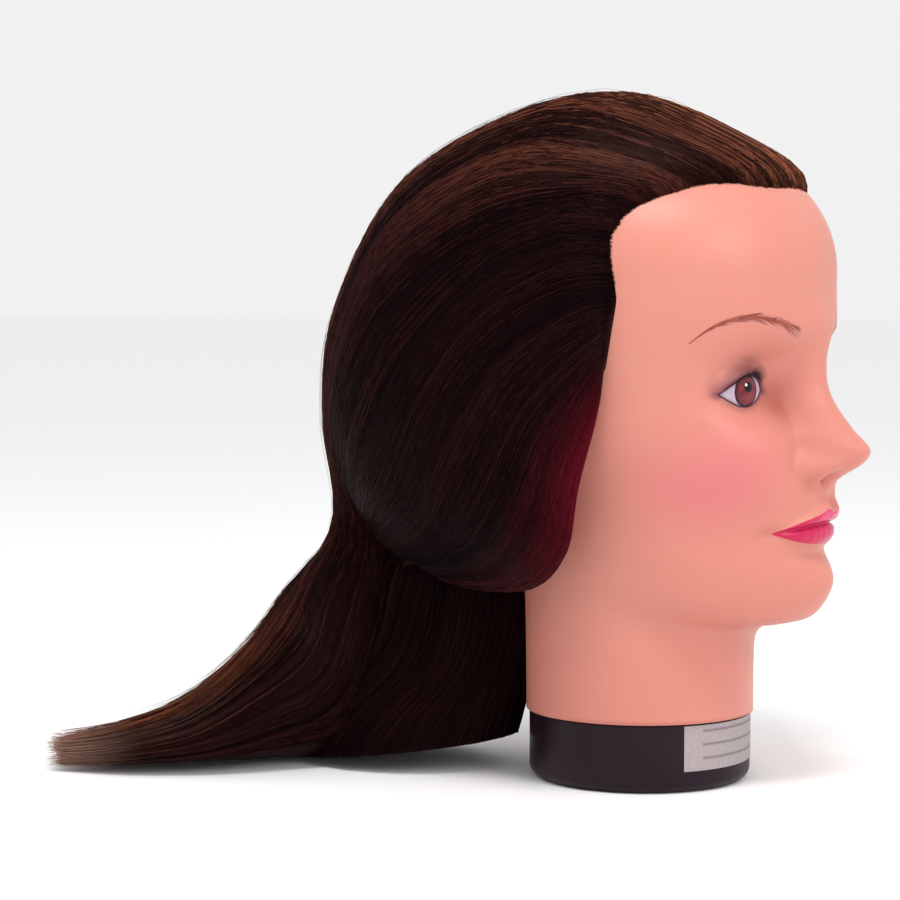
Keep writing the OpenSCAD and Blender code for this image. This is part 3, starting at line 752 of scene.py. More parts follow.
@dataclass(frozen=True)
class HeadForm:
    """The bare head as a surface of turn round the head and row down it, with the face's features."""

    dome_from: float = 200.0
    dome_h: float = 56.0
    dome_powers: tuple[float, float, float] = (0.70, 0.98, 0.98)
    eye: EyeForm = EyeForm()
    mouth: MouthForm = MouthForm()

    def section(self, v: Array, off: Array | float) -> Array:
        """Numbers of the level section at each row.

        Rows -1 to 0 run down the dome, where the reaches shrink as powers of a sine and the height grows as
        its cosine; rows above 0 follow SECTIONS on a smooth curve.
        Args:
            v: rows.
            off: how far outside the skin, in millimetres.
        Returns:
            (rows, 8) of front z, back z, front, back, half width, middle, front power, back power.
        """
        v = np.asarray(v, float)
        off = np.broadcast_to(np.asarray(off, float), v.shape)
        p = along(SECTIONS, np.maximum(v, 0) + 1)
        out = p[..., :8].copy()
        out[..., 0] -= off * p[..., 8]
        out[..., 1] -= 0.3 * off * p[..., 8]
        angle = np.clip(v + 1, 0, 1) * math.pi / 2
        s = np.sin(angle)
        front, back, side = (s**q for q in self.dome_powers)
        dome = v < 0
        height = self.dome_from + (self.dome_h + off) * np.cos(angle)
        out[..., 0] = np.where(dome, height, out[..., 0])
        out[..., 1] = np.where(dome, height, out[..., 1])
        middle = out[..., 5]
        out[..., 2] = middle + (out[..., 2] + off - middle) * front
        out[..., 3] = middle + (out[..., 3] - off - middle) * back
        out[..., 4] = (out[..., 4] + off) * side
        out[..., 6] = mix(2.0, out[..., 6], np.where(dome, s, 1))
        out[..., 7] = mix(2.0, out[..., 7], np.where(dome, s, 1))
        return out

    def plain(self, turn: Array, v: Array, off: Array | float = 0.0) -> Array:
        """Points of the head before its features, from turns (radians) and rows of one shape.

        In a section the reach r at a turn solves (r c / a) ** n + (r s / w) ** n = 1, and the height runs
        straight from the back's to the front's.
        Args:
            turn: turns round the head, 0 at the front.
            v: rows.
            off: how far outside the skin.
        Returns:
            Points in millimetres.
        """
        p = self.section(v, off)
        c, s = np.cos(turn), np.sin(turn)
        ahead = c >= 0
        reach = np.maximum(np.where(ahead, p[..., 2] - p[..., 5], p[..., 5] - p[..., 3]), TINY)
        width = np.maximum(p[..., 4], TINY)
        n = np.where(ahead, p[..., 6], p[..., 7])
        r = ((np.abs(c) / reach) ** n + (np.abs(s) / width) ** n) ** (-1 / n)
        f = p[..., 5] + r * c
        t = np.clip((f - p[..., 3]) / np.maximum(p[..., 2] - p[..., 3], TINY), 0, 1)
        return np.stack([r * s, f, mix(p[..., 1], p[..., 0], t)], -1)

    def nose(self, x: Array, z: Array) -> Array:
        """How far the nose stands out: NOSE's value at z, eased from the ridge down to the cheek.

        Args:
            x: side distances, the same for both sides.
            z: heights.
        Returns:
            Distances forward.
        """
        rows = np.interp(z, NOSE[:, 0], np.arange(len(NOSE)))
        p = along(NOSE, rows)
        ridge = 0.5 * p[..., 2]
        shape = 1 - smooth(0, 1, (x - ridge) / (1.14 * p[..., 3] - ridge))
        return p[..., 1] * shape * smooth(110, 113, z) * smooth(192, 184, z)

    def soft_forms(self, x: Array, z: Array) -> Array:
        """Brow, sockets, cheeks, chin and the mound of the mouth, as sums of bumps.

        Args:
            x: side distances, the same for both sides.
            z: heights.
        Returns:
            Distances forward.
        """
        d = 1.8 * bell(x - 24, 20) * bell(z - 178, 7.5)
        d -= 8.8 * np.exp(-((np.abs(x - 28.5) / 17.5) ** 2.6) - (np.abs(z - 157.5) / 14) ** 2.4)
        d += 3.2 * bell(x - 38, 15) * bell(z - 131, 13)
        d -= 1.6 * bell(x - 44, 12) * bell(z - 103, 14)
        d += 3.0 * bell(x, 15) * bell(z - 79, 9)
        d += 2.4 * bell(x, 21, 2.4) * bell(z - 107, 13, 2.4)
        d -= 1.3 * bell(x - 29, 5) * bell(z - 103, 9)
        d -= 1.6 * bell(x, 16, 2.6) * bell(z - 90.5, 3.4)
        return d

    def wings(self, x: Array, z: Array) -> Array:
        """Nose wings, their crease, the nostrils and the groove under the nose, as sums of bumps.

        Args:
            x: side distances, the same for both sides.
            z: heights.
        Returns:
            Distances forward.
        """
        d = 6.2 * np.exp(-((np.abs(x - 12.0) / 4.6) ** 2.4) - (np.abs(z - 124.5) / 5.6) ** 2.2)
        crease = np.hypot(x - 11.5, (z - 125.0) * 0.9) - 7.6
        d -= 0.8 * bell(crease, 2.3) * smooth(10, 15, x)
        d -= 4.2 * bell(x - 6.2, 2.5) * bell(z - 120.3, 2.2)
        d -= 0.9 * bell(x, 2.4) * bell(z - 112, 3.6)
        return d + 0.4 * bell(x - 4.4, 1.7) * bell(z - 111.5, 3.6)

    def eyelid(self, x: Array, z: Array) -> Array:
        """Front of the eyeball and its lids: the ball, with lid thickness outside the opening.

        Args:
            x: side distances, the same for both sides.
            z: heights.
        Returns:
            Forward places.
        """
        depth = self.eye.depth(x, z)
        lid = np.where(z > self.eye.middle, 1.45, 0.95)
        return self.eye.front(x, z) + lid * (1 - smooth(-0.75, 0.1, depth))

    def featured(self, p: Array) -> Array:
        """Adds the features to points of the plain head, forward only and fading behind the temples.

        The lids join the face by a smooth maximum over a span of `join`, and the ears are flat-topped bumps.
        Args:
            p: points of the plain head.
        Returns:
            Points with the features.
        """
        x, f, z = np.abs(p[..., 0]), p[..., 1], p[..., 2]
        front = smooth(20, 40, f)
        forms = self.soft_forms(x, z) + self.nose(x, z) + self.wings(x, z) + self.mouth.relief(x, z)
        face = f + front * forms
        ball = np.where(front > 0, self.eyelid(x, z), BEHIND)
        join = 2.0
        h = np.clip(0.5 + 0.5 * (ball - face) / join, 0, 1)
        face = mix(face, ball, h) + join * h * (1 - h)
        opening = smooth(-0.25, 0.25, self.eye.depth(x, z)) * (front > 0)
        face = mix(face, self.eye.front(x, z) - 0.4, opening)
        crease = self.eye.gap(x)[1] + 4.2
        near = smooth(self.eye.inner - 1, self.eye.inner + 7, x) * (1 - smooth(38, 47, x))
        face = face - front * 0.8 * bell(z - crease, 1.3) * near
        ear = 6.0 * bell(f + 13, 13, 4) * bell(z - 150, 26, 4) * smooth(40, 60, x) * (1 - front)
        out = p.copy()
        out[..., 0] += np.sign(p[..., 0]) * ear
        out[..., 1] = face
        return out

    def skin(self, turn: Array, v: Array) -> Array:
        """Featured surface at turns and rows of one shape, in millimetres."""
        return self.featured(self.plain(turn, v))


# ---------------------------------------------------------------- skin


@dataclass
class FaceSkin:
    """The soft skin: one closed wall from the crown to the collar, with the face's paint stored on it."""

    form: HeadForm
    face_cols: int = 240
    back_cols: int = 50
    face_turn: float = math.radians(70)
    wall: float = 4.0
    cover: float = 0.5  # how far the skin is raised along the hairline, over the scalp cap's edge
    last_row: float = 18.0
    bare: float = -3.0  # distance outside a painted edge that is plain skin

    def turns(self) -> Array:
        """Turns of the columns, close together across the face.

        Returns:
            Turns in radians, once round.
        """
        even = np.linspace(-self.face_turn, self.face_turn, STEPS)
        weight = 1 + 1.5 * bell(np.abs(even) - math.radians(23), math.radians(9), 4)
        face = spaced(even, weight, self.face_cols)
        back = np.linspace(self.face_turn, 2 * math.pi - self.face_turn, self.back_cols, endpoint=False)
        return np.concatenate([face, back])

    def rows(self) -> Array:
        """Rows from the crown to the collar, closest together from the brow to the chin.

        Returns:
            Row places, from the top down.
        """
        even = np.linspace(1.2, 14, STEPS)
        weight = 1 + 2.0 * bell(even - 3.9, 0.95, 4) + 0.9 * bell(even - 8.4, 1.1, 4)
        parts = [np.linspace(-0.985, 0, 24, endpoint=False), np.linspace(0, 1.2, 12, endpoint=False),
                 spaced(even, weight, 250), np.linspace(14, self.last_row, 22)]
        return np.concatenate(parts)

    def build(self) -> Piece:
        """Builds the outer surface, turns it in at the collar and returns up the inside.

        Returns:
            The skin piece with its paint amounts.
        """
        turn, v = np.meshgrid(self.turns(), self.rows())
        cover = self.cover * bell(v + 0.3, 0.25)
        outer = self.form.featured(self.form.plain(turn, v, cover))
        t_in, v_in = np.meshgrid(self.turns(), np.linspace(self.last_row, -0.95, 26))
        inner = self.form.plain(t_in, v_in, -self.wall - 2.5 * smooth(14, 8, v_in))
        forms = self.form.soft_forms(np.abs(inner[..., 0]), inner[..., 2])
        inner[..., 1] += smooth(20, 40, inner[..., 1]) * forms
        rings = np.concatenate([outer, inner])
        piece = closed_rings("face_skin_soft", placed(rings))
        self.paint(piece, rings, len(outer))
        return piece

    def paint(self, piece: Piece, rings: Array, outer_rows: int) -> None:
        """Stores how much of each paint lies on each vertex.

        Args:
            piece: the skin.
            rings: its points in millimetres, (rows, cols, 3).
            outer_rows: how many of the rows are on the outside.
        """
        eye, mouth = self.form.eye, self.form.mouth
        x, f, z = np.abs(rings[..., 0]), rings[..., 1], rings[..., 2]
        on = np.zeros(x.shape)
        on[:outer_rows] = 1
        front = on * smooth(15, 30, f)
        low, high = eye.gap(x)
        s = np.clip((x - eye.inner) / (eye.outer - eye.inner), 0, 1)
        above = z - high
        lid = smooth(10.5, 0.0, above) * smooth(-3.0, 0.0, above)
        reach = smooth(eye.inner - 4.5, eye.inner + 3, x) * (1 - smooth(eye.outer - 4, eye.outer + 5.5, x))
        shadow = lid * reach * (0.72 + 0.28 * smooth(4, 0, above))
        under = smooth(3.6, 0.0, low - z) * smooth(-2.0, 0.0, low - z) * reach * 0.42
        corner = bell(x - eye.outer + 0.5, 4.6) * bell(z - eye.middle - 1.0, 3.4) * 0.28
        # painted shade: reddish brown in the recesses at the eye's inner corner, under the eye, by the nose's
        # wings and nostrils, and at the mouth's corners
        recess_shade = bell(x - 17.5, 7.0) * bell(z - 150.5, 9.5) * 0.80 + bell(x - 25, 12) * bell(z - 147, 7) * 0.22
        recess_shade = recess_shade + bell(x - 14.0, 4.5) * bell(z - 118.5, 5) * 0.30
        recess_shade = recess_shade + bell(x - 5.5, 3) * bell(z - 119, 3) * 0.3
        recess_shade = recess_shade + bell(x - 27, 3.5) * bell(z - 99.5, 4) * 0.22
        blush = bell(x - 44, 16) * bell(z - 120, 18)
        rim = 0.35 + 0.55 * smooth(0.0, 0.4, s) * (z > eye.middle)
        depth = eye.depth(x, z)
        liner = np.where(depth > -6, rim * 0.62 + depth, self.bare)
        blank = self.bare * (1 - front)
        # painted highlight on the lips' middle front, most on the upper lip
        streak = smooth(20, 4, x) * (0.25 + 0.75 * smooth(0, 3, z - mouth.z))
        amounts = {"shadow": np.clip(shadow + under + corner, 0, 1), "recess_shade": recess_shade, "blush": blush,
                   "lip_highlight_share": streak, "brow": self.brow_band(x, z)}
        edges = {"liner": liner, "lip_edge": mouth.edge(x, z)}
        for name, value in amounts.items():
            give(piece, name, np.concatenate([(value * front).ravel(), [0.0, 0.0]]))
        for name, value in edges.items():
            give(piece, name, np.concatenate([(value * front + blank).ravel(), [self.bare, self.bare]]))

    def brow_band(self, x: Array, z: Array) -> Array:
        """Soft tint under the brow's strokes, by height from the brow's line and thinning to the tail.

        Args:
            x: side distances, the same for both sides.
            z: heights.
        Returns:
            Amounts, 0 to 1.
        """
        turn, row = BROW_LINE.T
        line = self.form.skin(turn, row)
        middle = np.interp(x, line[:, 0], line[:, 2])
        half = np.interp(x, line[:, 0], np.linspace(1.9, 0.5, len(line)))
        ends = smooth(line[0, 0] - 2.5, line[0, 0] + 1.5, x) * smooth(line[-1, 0], line[-1, 0] - 12, x)
        return smooth(1.5, 0.35, np.abs(z - middle) / half) * ends


@dataclass
class PaintedEye:
    """Glossy printed eye set behind the lids, with a thin rim of ball under them."""

    form: HeadForm
    side: Side
    cols: int = 90
    rows: int = 44
    lift: float = 0.14
    margin: float = 0.7
    thickness: float = 0.4
    least_reach: float = 1e-4

    def build(self) -> Piece:
        """Builds the almond plate on the ball, front and back, joined round its edge.

        The plate's loops shrink from the edge of the opening to its middle, in front and then behind.
        Returns:
            The eye piece, with distances from the iris, the spark and the lids.
        """
        eye = self.form.eye
        around = np.linspace(0, 2 * math.pi, 2 * self.cols, endpoint=False)
        scale = np.linspace(0.02, 1, self.rows)[:, None]
        s = 0.5 - 0.5 * np.cos(around)[None, :] * scale
        half = np.sin(around)[None, :] * scale
        edge = 0.5 - 0.5 * np.cos(around)[None, :] * np.ones_like(scale)
        x = mix(eye.inner - self.margin * 0.2, eye.outer + self.margin * 0.4, s)
        low, high = eye.gap(mix(eye.inner, eye.outer, s))
        low, high = low - self.margin, high + self.margin
        reach = np.sqrt(np.clip(1 - (2 * edge - 1) ** 2, self.least_reach, 1))
        z = (low + high) / 2 + (high - low) / 2 * np.clip(half / reach, -1, 1)
        front = np.stack([x, eye.front(x, z) + self.lift, z], -1)
        back = front[::-1].copy()
        back[..., 1] -= self.thickness
        rings = np.concatenate([front, back])
        rings[..., 0] *= self.side.value
        if self.side is Side.LEFT:
            rings = rings[:, ::-1]
        piece = closed_rings(f"eye_print_{self.side.name.lower()}_gloss", placed(rings))
        self.measure(piece, rings)
        return piece

    def measure(self, piece: Piece, rings: Array) -> None:
        """Stores distances that the eye's material reads; rays are sines of the turn and the distance.

        Args:
            piece: the eye.
            rings: its points in millimetres.
        """
        eye = self.form.eye
        x, z = np.abs(rings[..., 0]), rings[..., 2]
        dx, dz = x - eye.iris[0], z - eye.iris[1]
        r = np.hypot(dx * 1.04, dz)
        angle = np.arctan2(dz, dx)
        rays = 0.5 + 0.28 * np.sin(angle * 23 + 1.3 * r) + 0.22 * np.sin(angle * 41 - 0.7 * r)
        glow = bell(np.hypot(dx + 2.2, dz + 2.6) - 1.0, 2.0) * 0.7
        glow = glow + bell(r - 4.9, 0.5) * smooth(-0.5, -4.0, dx) * 0.9
        # painted highlight: a white spot above the pupil and toward the head's right, the same in the world
        # for both eyes
        painted_glint = rings[..., 0] - eye.pupil[0] * self.side.value + 1.1
        values = {"from_iris": r, "iris_rays": rays, "iris_glow": glow,
                  "from_pupil": np.hypot(x - eye.pupil[0], z - eye.pupil[1]),
                  "from_painted_glint": np.hypot(painted_glint, z - eye.pupil[1] - 0.9),
                  "lid_depth": eye.depth(x, z)}
        for name, value in values.items():
            ends = [value[0].mean(), value[-1].mean()]
            give(piece, name, np.concatenate([value.ravel(), ends]))


@dataclass
class Brow:
    """Painted brow of fine separate strokes, thin at the tail and soft at the nose end."""

    form: HeadForm
    side: Side
    count: int = 150
    proud: float = 0.06
    thinnest: float = 0.02
    seed: int = 5

    def build(self) -> Piece:
        """Lays the strokes along the brow's line, fanned a little upwards where they start.

        Returns:
            The brow piece.
        """
        rng = np.random.default_rng(self.seed)
        t = rng.uniform(0, 0.93, self.count) ** 0.9
        width = (1 - smooth(0.3, 1.0, t)) * 0.165 + 0.02
        across = rng.uniform(-1, 1, self.count) * width
        length = rng.uniform(0.08, 0.17, self.count)
        step = np.linspace(0, 1, 9)
        s = np.clip(t[:, None] + length[:, None] * step, 0, 1.02)
        mid = along(BROW_LINE, s * (len(BROW_LINE) - 1))
        close = mix(1.0, 0.25, step)[None] * across[:, None]
        lift = (1 - smooth(0.0, 0.35, t))[:, None] * -0.06 * step
        points = self.form.skin(self.side.value * mid[..., 0], mid[..., 1] + close + lift)
        points[..., 1] += self.proud
        fade = np.sin(math.pi * np.clip(step * 0.93 + 0.05, 0, 1)) ** 0.6
        radius = rng.uniform(0.07, 0.13, self.count)[:, None] * fade[None] * MM
        radius = np.maximum(radius, self.thinnest * MM)
        away = placed(points - np.array([0, -15.0, 175.0]))
        return strands(f"brow_{self.side.name.lower()}", placed(points), radius, away)


@dataclass
class Lashes:
    """Fan of fine curved lashes along the upper lid."""

    form: HeadForm
    side: Side
    count: int = 46
    thinnest: float = 0.015
    seed: int = 3

    def build(self) -> Piece:
        """Starts each lash on the lid's edge, runs it forward and curls it up.

        Returns:
            The lash piece.
        """
        eye = self.form.eye
        rng = np.random.default_rng(self.seed)
        s = np.linspace(0.12, 0.99, self.count) + rng.uniform(-0.008, 0.008, self.count)
        x = mix(eye.inner, eye.outer, s)
        z = eye.gap(x)[1] + 0.35
        root = np.stack([x, eye.front(x, np.minimum(z, eye.ball[2] + 9)) + 1.1, z], -1)
        arch = np.sin(math.pi * np.clip(s, 0, 1) ** 1.35)
        length = (2.6 + 3.6 * arch) * rng.uniform(0.85, 1.1, self.count)
        t = np.linspace(0, 1, 8)[None, :, None]
        out = unit(np.stack([(s - 0.45) * 0.85, 0.95 - 0.25 * s, np.full(self.count, -0.05)], -1), 0.0)
        curl = np.array([0, -0.12, 0.75])
        path = root[:, None] + length[:, None, None] * (out[:, None] * t + curl * t**2)
        path[..., 0] *= self.side.value
        radius = 0.13 * (1 - t[..., 0]) ** 0.6 * np.ones((self.count, 1)) * MM
        radius = np.maximum(radius, self.thinnest * MM)
        away = np.broadcast_to(np.array([0.0, 0.0, 1.0]), path.shape)
        return strands(f"eyelash_{self.side.name.lower()}_fine", placed(path), radius, away)


# ---------------------------------------------------------------- hair


LOCKS = np.array([
    # combed lines of the left half from the middle to the temple; each runs from the roots to the gather
    [[0, 69, 231.5], [0, 46, 251], [0, -15, 272.5], [0, -90, 247],
     [0, -130, 192], [0, -138, 142], [0, -136, 99]],
    [[23, 66, 231.5], [27, 42, 249], [36, -15, 267], [38, -85, 240],
     [36, -122, 186], [30, -132, 140], [20, -132, 98]],
    [[48, 46, 230], [57, 20, 241.5], [67, -24, 245], [67, -76, 218],
     [58, -108, 172], [42, -121, 133], [28, -124, 96]],
    [[65, 27, 217], [77, 0, 221], [86, -36, 206], [83, -74, 176],
     [68, -98, 142], [47, -112, 116], [32, -114, 92]],
    [[72, 24, 190], [82, 7, 184], [90, -18, 165], [88, -40, 134],
     [74, -62, 106], [52, -88, 92], [32, -105, 86]],
    [[74, 19, 160], [80, 18, 140], [82, 12, 116], [81, 7, 92],
     [72, -13, 76], [54, -55, 73], [28, -92, 80]],
], float)
HEART = np.array([
    # the line inside the head that combed hair stands off from, from the roots to the gather
    [0, -15, 200], [0, -15, 205], [0, -18, 200], [0, -28, 180],
    [0, -50, 140], [0, -84, 108], [0, -104, 90],
], float)
TAIL = np.array([
    # centre (side, forward, up), half side, half depth, lean of the depth, turn of the side
    [-2, -112, 87, 31, 26, 0, 0], [-12, -123, 60, 35, 29, 30, -18], [-26, -136, 34, 40, 34, 60, -32],
    [-46, -156, 21, 42, 21, 75, -36], [-66, -176, 11.5, 38, 10.6, 86, -38], [-86, -198, 7, 28, 5.6, 90, -38],
    [-103, -216, 4.6, 12, 3.6, 90, -38],
], float)
GATHER = 6  # place along the hair where the combed lines meet the tail
NAPE = np.array([
    # rows as in TAIL, for the hair that hangs behind the neck
    [0, -84, 88, 29, 34, 0, 0], [-1, -86, 70, 33, 38, 0, 0], [-3, -88, 52, 36, 40, 0, 0],
    [-7, -94, 34, 38, 44, -2, 0], [-12, -99, 18, 40, 48, -4, 0], [-16, -102, 5.4, 40, 50, -6.5, 0],
], float)
NAPE_COMB = 0.7  # share of the comb marks' height on the nape


def ring_points(ring: Array, turn: Array, low: float = 0.4) -> Array:
    """Points of a lying ring of hair.

    The ring is an ellipse whose depth leans from level toward upright and whose side is turned in plan.
    Args:
        ring: (..., 7) rows as in TAIL.
        turn: turns round the ring in radians, 0 at the back and top, of ring's leading shape.
        low: lowest height allowed, just over the table.
    Returns:
        (..., 3) points in millimetres.
    """
    lean, yaw = np.radians(ring[..., 5]), np.radians(ring[..., 6])
    x = ring[..., 3] * np.sin(turn)
    deep = ring[..., 4] * np.cos(turn)
    y = deep * np.cos(lean)
    return np.stack([ring[..., 0] + x * np.cos(yaw) + y * np.sin(yaw),
                     ring[..., 1] + x * np.sin(yaw) - y * np.cos(yaw),
                     np.maximum(ring[..., 2] + deep * np.sin(lean), low)], -1)


@dataclass
class HairField:
    """Flow of the combed hair: u goes round from the right temple to the left, s from roots to tips."""

    edge: int = 5  # u at the temples
    ring_step: float = math.radians(26)
    seed: int = 11
    waves: int = 26
    depth: float = 0.46
    crease_depth: float = 3.6
    root_depths: tuple[float, ...] = (2.0, 3.5, 4.2, 2.8, 2.8, 5.4)
    edge_depth: float = 5.0
    low: float = 0.5

    def __post_init__(self) -> None:
        """Joins the combed lines of both halves to the tail's rings into one net of knots."""
        right = LOCKS[:0:-1] * np.array([-1, 1, 1])
        combed = np.concatenate([right, LOCKS])
        u = np.arange(-self.edge, self.edge + 1)
        tail = ring_points(TAIL[None, 1:], (u * self.ring_step)[:, None] * np.ones((1, len(TAIL) - 1)))
        self.net = np.concatenate([combed, tail], axis=1)
        self.last = self.net.shape[1] - 1
        rng = np.random.default_rng(self.seed)
        self.freq = np.linspace(2.6, 30.0, self.waves) * rng.uniform(0.9, 1.1, self.waves)
        self.phase = rng.uniform(0, 2 * math.pi, self.waves)
        self.drift = rng.uniform(-0.55, 0.55, self.waves) * (1 + 0.05 * self.freq)
        self.size = rng.uniform(0.6, 1.0, self.waves) / (1 + 0.13 * self.freq)

    def heart(self, s: Array) -> Array:
        """Middle line that hair stands off from: the heart of the head, then the tail's centres."""
        return along(np.concatenate([HEART, TAIL[1:, :3]]), s)

    def even(self, u: Array, s: Array) -> Array:
        """Point of the combed surface by splines both ways over the net.

        Args:
            u: places round, -5 to 5.
            s: places along, 0 to 12, of the same shape.
        Returns:
            Points in millimetres.
        """
        across = 2 * self.edge
        a = np.clip(u + self.edge, 0, across)
        i = np.minimum(np.floor(a).astype(int), across - 1)
        b = np.clip(s, 0, self.last)
        j = np.minimum(np.floor(b).astype(int), self.last - 1)
        total = 0.0
        wa, wb = spline_weights(a - i), spline_weights(b - j)
        for k in range(4):
            for m in range(4):
                knot = self.net[np.clip(i + k - 1, 0, across), np.clip(j + m - 1, 0, self.last)]
                total = total + knot * (wa[k] * wb[m])[..., None]
        return total

    def relief(self, u: Array, s: Array) -> Array:
        """Comb marks: a sum of sines round the head whose phases drift along the hair.

        Args:
            u: places round.
            s: places along.
        Returns:
            Heights in millimetres.
        """
        total = 0.0
        for f, p, d, a in zip(self.freq, self.phase, self.drift, self.size):
            total = total + a * np.sin(f * u + p + d * s)
        return total * self.depth

    def painted_shading(self, u: Array, s: Array) -> Array:
        """Painted shade: overall lightness by place, least down each side and on the right flank of the tail.

        Args:
            u: places round.
            s: places along.
        Returns:
            Factors, at most 1.
        """
        under = smooth(5.5, 7.0, s) * smooth(10.8, 8.8, s) * smooth(-0.8, -2.8, u)
        return 1 - 0.55 * smooth(2.2, 3.6, np.abs(u)) * smooth(6.5, 5.0, s) - 0.5 * under

    def crease(self, u: Array, s: Array) -> Array:
        """Hollow between the swept-back top and each side, and the top's partings, as bells round u; the tone
        is also darkened there as painted shade.

        Args:
            u: places round.
            s: places along.
        Returns:
            Depths, 0 to 1.
        """
        side = bell(np.abs(u) - 2.75 - 0.28 * (s - 1.5), 0.46) * smooth(0.4, 1.3, s) * smooth(4.8, 2.8, s)
        top = 0.45 * bell(np.abs(u) - 1.15 - 0.12 * s, 0.13) * smooth(0.5, 1.4, s) * smooth(4.4, 2.8, s)
        return np.clip(side + top, 0, 1)

    def sink(self, u: Array, s: Array) -> Array:
        """How far the hair drops into the scalp at its roots and rounds in at the temples' edge.

        Args:
            u: places round.
            s: places along.
        Returns:
            Depths in millimetres.
        """
        round_u = np.abs(u)
        roots = np.interp(round_u, np.arange(len(self.root_depths)), self.root_depths)
        edge = self.edge_depth * smooth(4.25, 5.1, round_u) ** 1.5
        return roots * (1 - smooth(0.0, 0.5, s)) + edge * smooth(0.2, 1.2, s) * (1 - smooth(5.0, 6.2, s))

    def point(self, u: Array, s: Array, lift: Array | float = 0.0, comb: float = 1.0) -> tuple[Array, Array]:
        """Point on the combed hair and the direction away from the heart.

        Args:
            u: places round.
            s: places along.
            lift: millimetres out from the surface.
            comb: how much of the comb marks to add.
        Returns:
            Points in millimetres and unit directions.
        """
        p = self.even(u, s)
        out = unit(p - self.heart(s))
        marks = self.relief(u, s) * smooth(0.0, 0.8, s) * (1 - 0.6 * smooth(10, 12, s))
        rise = lift + comb * marks - self.sink(u, s) - self.crease_depth * comb * self.crease(u, s)
        p = p + out * rise[..., None]
        p[..., 2] = np.maximum(p[..., 2], self.low)
        return p, out


@dataclass
class HairMass:
    """The hair's dark closed bodies: the combed hair with its tail, and the hair under the nape."""

    flow: HairField
    cols: int = 230
    rows: int = 190
    inner_cols: int = 18
    body_end: float = 11.35
    nape_cols: int = 150
    nape_rows: int = 60

    def build(self) -> list[Piece]:
        """Builds both bodies.

        Returns:
            The combed body and the nape body.
        """
        return [self.combed(), self.nape()]

    def combed(self) -> Piece:
        """Rings across the hair: the combed surface from temple to temple, then back through the heart.

        Returns:
            The body with its colour amounts.
        """
        edge = self.flow.edge
        s = np.linspace(0.0, self.body_end, self.rows)[:, None]
        u = np.linspace(-edge, edge, self.cols)[None, :]
        outer, _ = self.flow.point(u + 0 * s, s + 0 * u)
        w = np.linspace(0, 1, self.inner_cols + 2)[None, 1:-1]
        heart = self.flow.heart(s + 0 * w)
        left = self.flow.point(np.full_like(w + s, edge), s + 0 * w, comb=0.0)[0]
        right = self.flow.point(np.full_like(w + s, -edge), s + 0 * w, comb=0.0)[0]
        w3 = (w + 0 * s)[..., None]
        bent = np.where(w3 < 0.5, mix(left, heart, 2 * w3), mix(heart, right, 2 * w3 - 1))
        ring = self.tail_closure(s, w)
        inner = mix(bent, ring, smooth(5.2, 6.4, s + 0 * w)[..., None])
        rings = np.concatenate([outer, inner], axis=1)
        rings[..., 2] = np.maximum(rings[..., 2], TABLE_GAP)
        piece = closed_rings("hair_combed_body", placed(rings[:, ::-1]))
        uu = np.concatenate([u + 0 * s, edge - 2 * edge * w + 0 * s], axis=1)[:, ::-1]
        ss = np.concatenate([s + 0 * u, s + 0 * w], axis=1)[:, ::-1]
        tone(piece, uu, ss, self.flow, 0.0)
        return piece

    def tail_closure(self, s: Array, w: Array) -> Array:
        """Underside of the tail: the rest of each lying ring, from one edge line to the other.

        Args:
            s: places along, one column.
            w: places across the underside, 0 to 1, one row.
        Returns:
            Points in millimetres.
        """
        knots = np.clip(s - GATHER, 0, len(TAIL) - 1)
        ring = along(TAIL, knots + 0 * w)
        reach = self.flow.edge * self.flow.ring_step
        return ring_points(ring, reach + (2 * math.pi - 2 * reach) * w + 0 * s)

    def nape(self) -> Piece:
        """Closed body through the nape's lying rings, ending on the table.

        Returns:
            The body with its colour amounts.
        """
        turn = np.linspace(0, 2 * math.pi, self.nape_cols, endpoint=False)[None, :]
        k = np.linspace(0, len(NAPE) - 1, self.nape_rows)[:, None]
        ring = along(NAPE, k + 0 * turn)
        points = ring_points(ring, turn + 0 * k)
        u, s = nape_place(turn, k)
        rise = self.flow.relief(u, s) * smooth(0, 0.6, k) * NAPE_COMB
        out = unit(points - ring[..., :3])
        points = points + out * (rise - 0.6)[..., None]
        points[..., 2] = np.maximum(points[..., 2], TABLE_GAP)
        piece = closed_rings("hair_nape_body", placed(points[:, ::-1]))
        tone(piece, (u + 0 * k)[:, ::-1], np.minimum(s + 0 * u, GATHER + 0.6)[:, ::-1], self.flow, -0.3)
        return piece


def nape_place(turn: Array, k: Array) -> tuple[Array, Array]:
    """Places in the flow that give the nape its comb marks, from turns round its rings and rows down them."""
    return turn * 5 / math.pi * 1.7 + 3, k + GATHER


def tone(piece: Piece, u: Array, s: Array, flow: HairField, shift: float) -> None:
    """Stores the hair's colour amounts on a body: tone from the comb marks with painted shade in the creases,
    painted highlight, red and tip by place.

    Args:
        piece: the body, whose last two vertices close its ends.
        u: places round of the other vertices.
        s: places along.
        flow: the flow that the body follows.
        shift: added to the tone.
    """
    # painted shade: tone is cut in the creases
    shade = np.clip(0.16 + shift + 0.30 * flow.relief(u, s), 0, 1) * (1 - 0.9 * flow.crease(u, s))
    amounts = {"tone": (shade, 0.3), "painted_highlight": (painted_highlight_at(u, s) * 0.6, 0.3), "red": (reddened(u, s) * 0.25, 0.0),
               "tip": (0.25 * smooth(10.2, 11.6, s), 0.0)}
    for name, (value, end) in amounts.items():
        give(piece, name, np.concatenate([value.ravel(), [end, end]]))


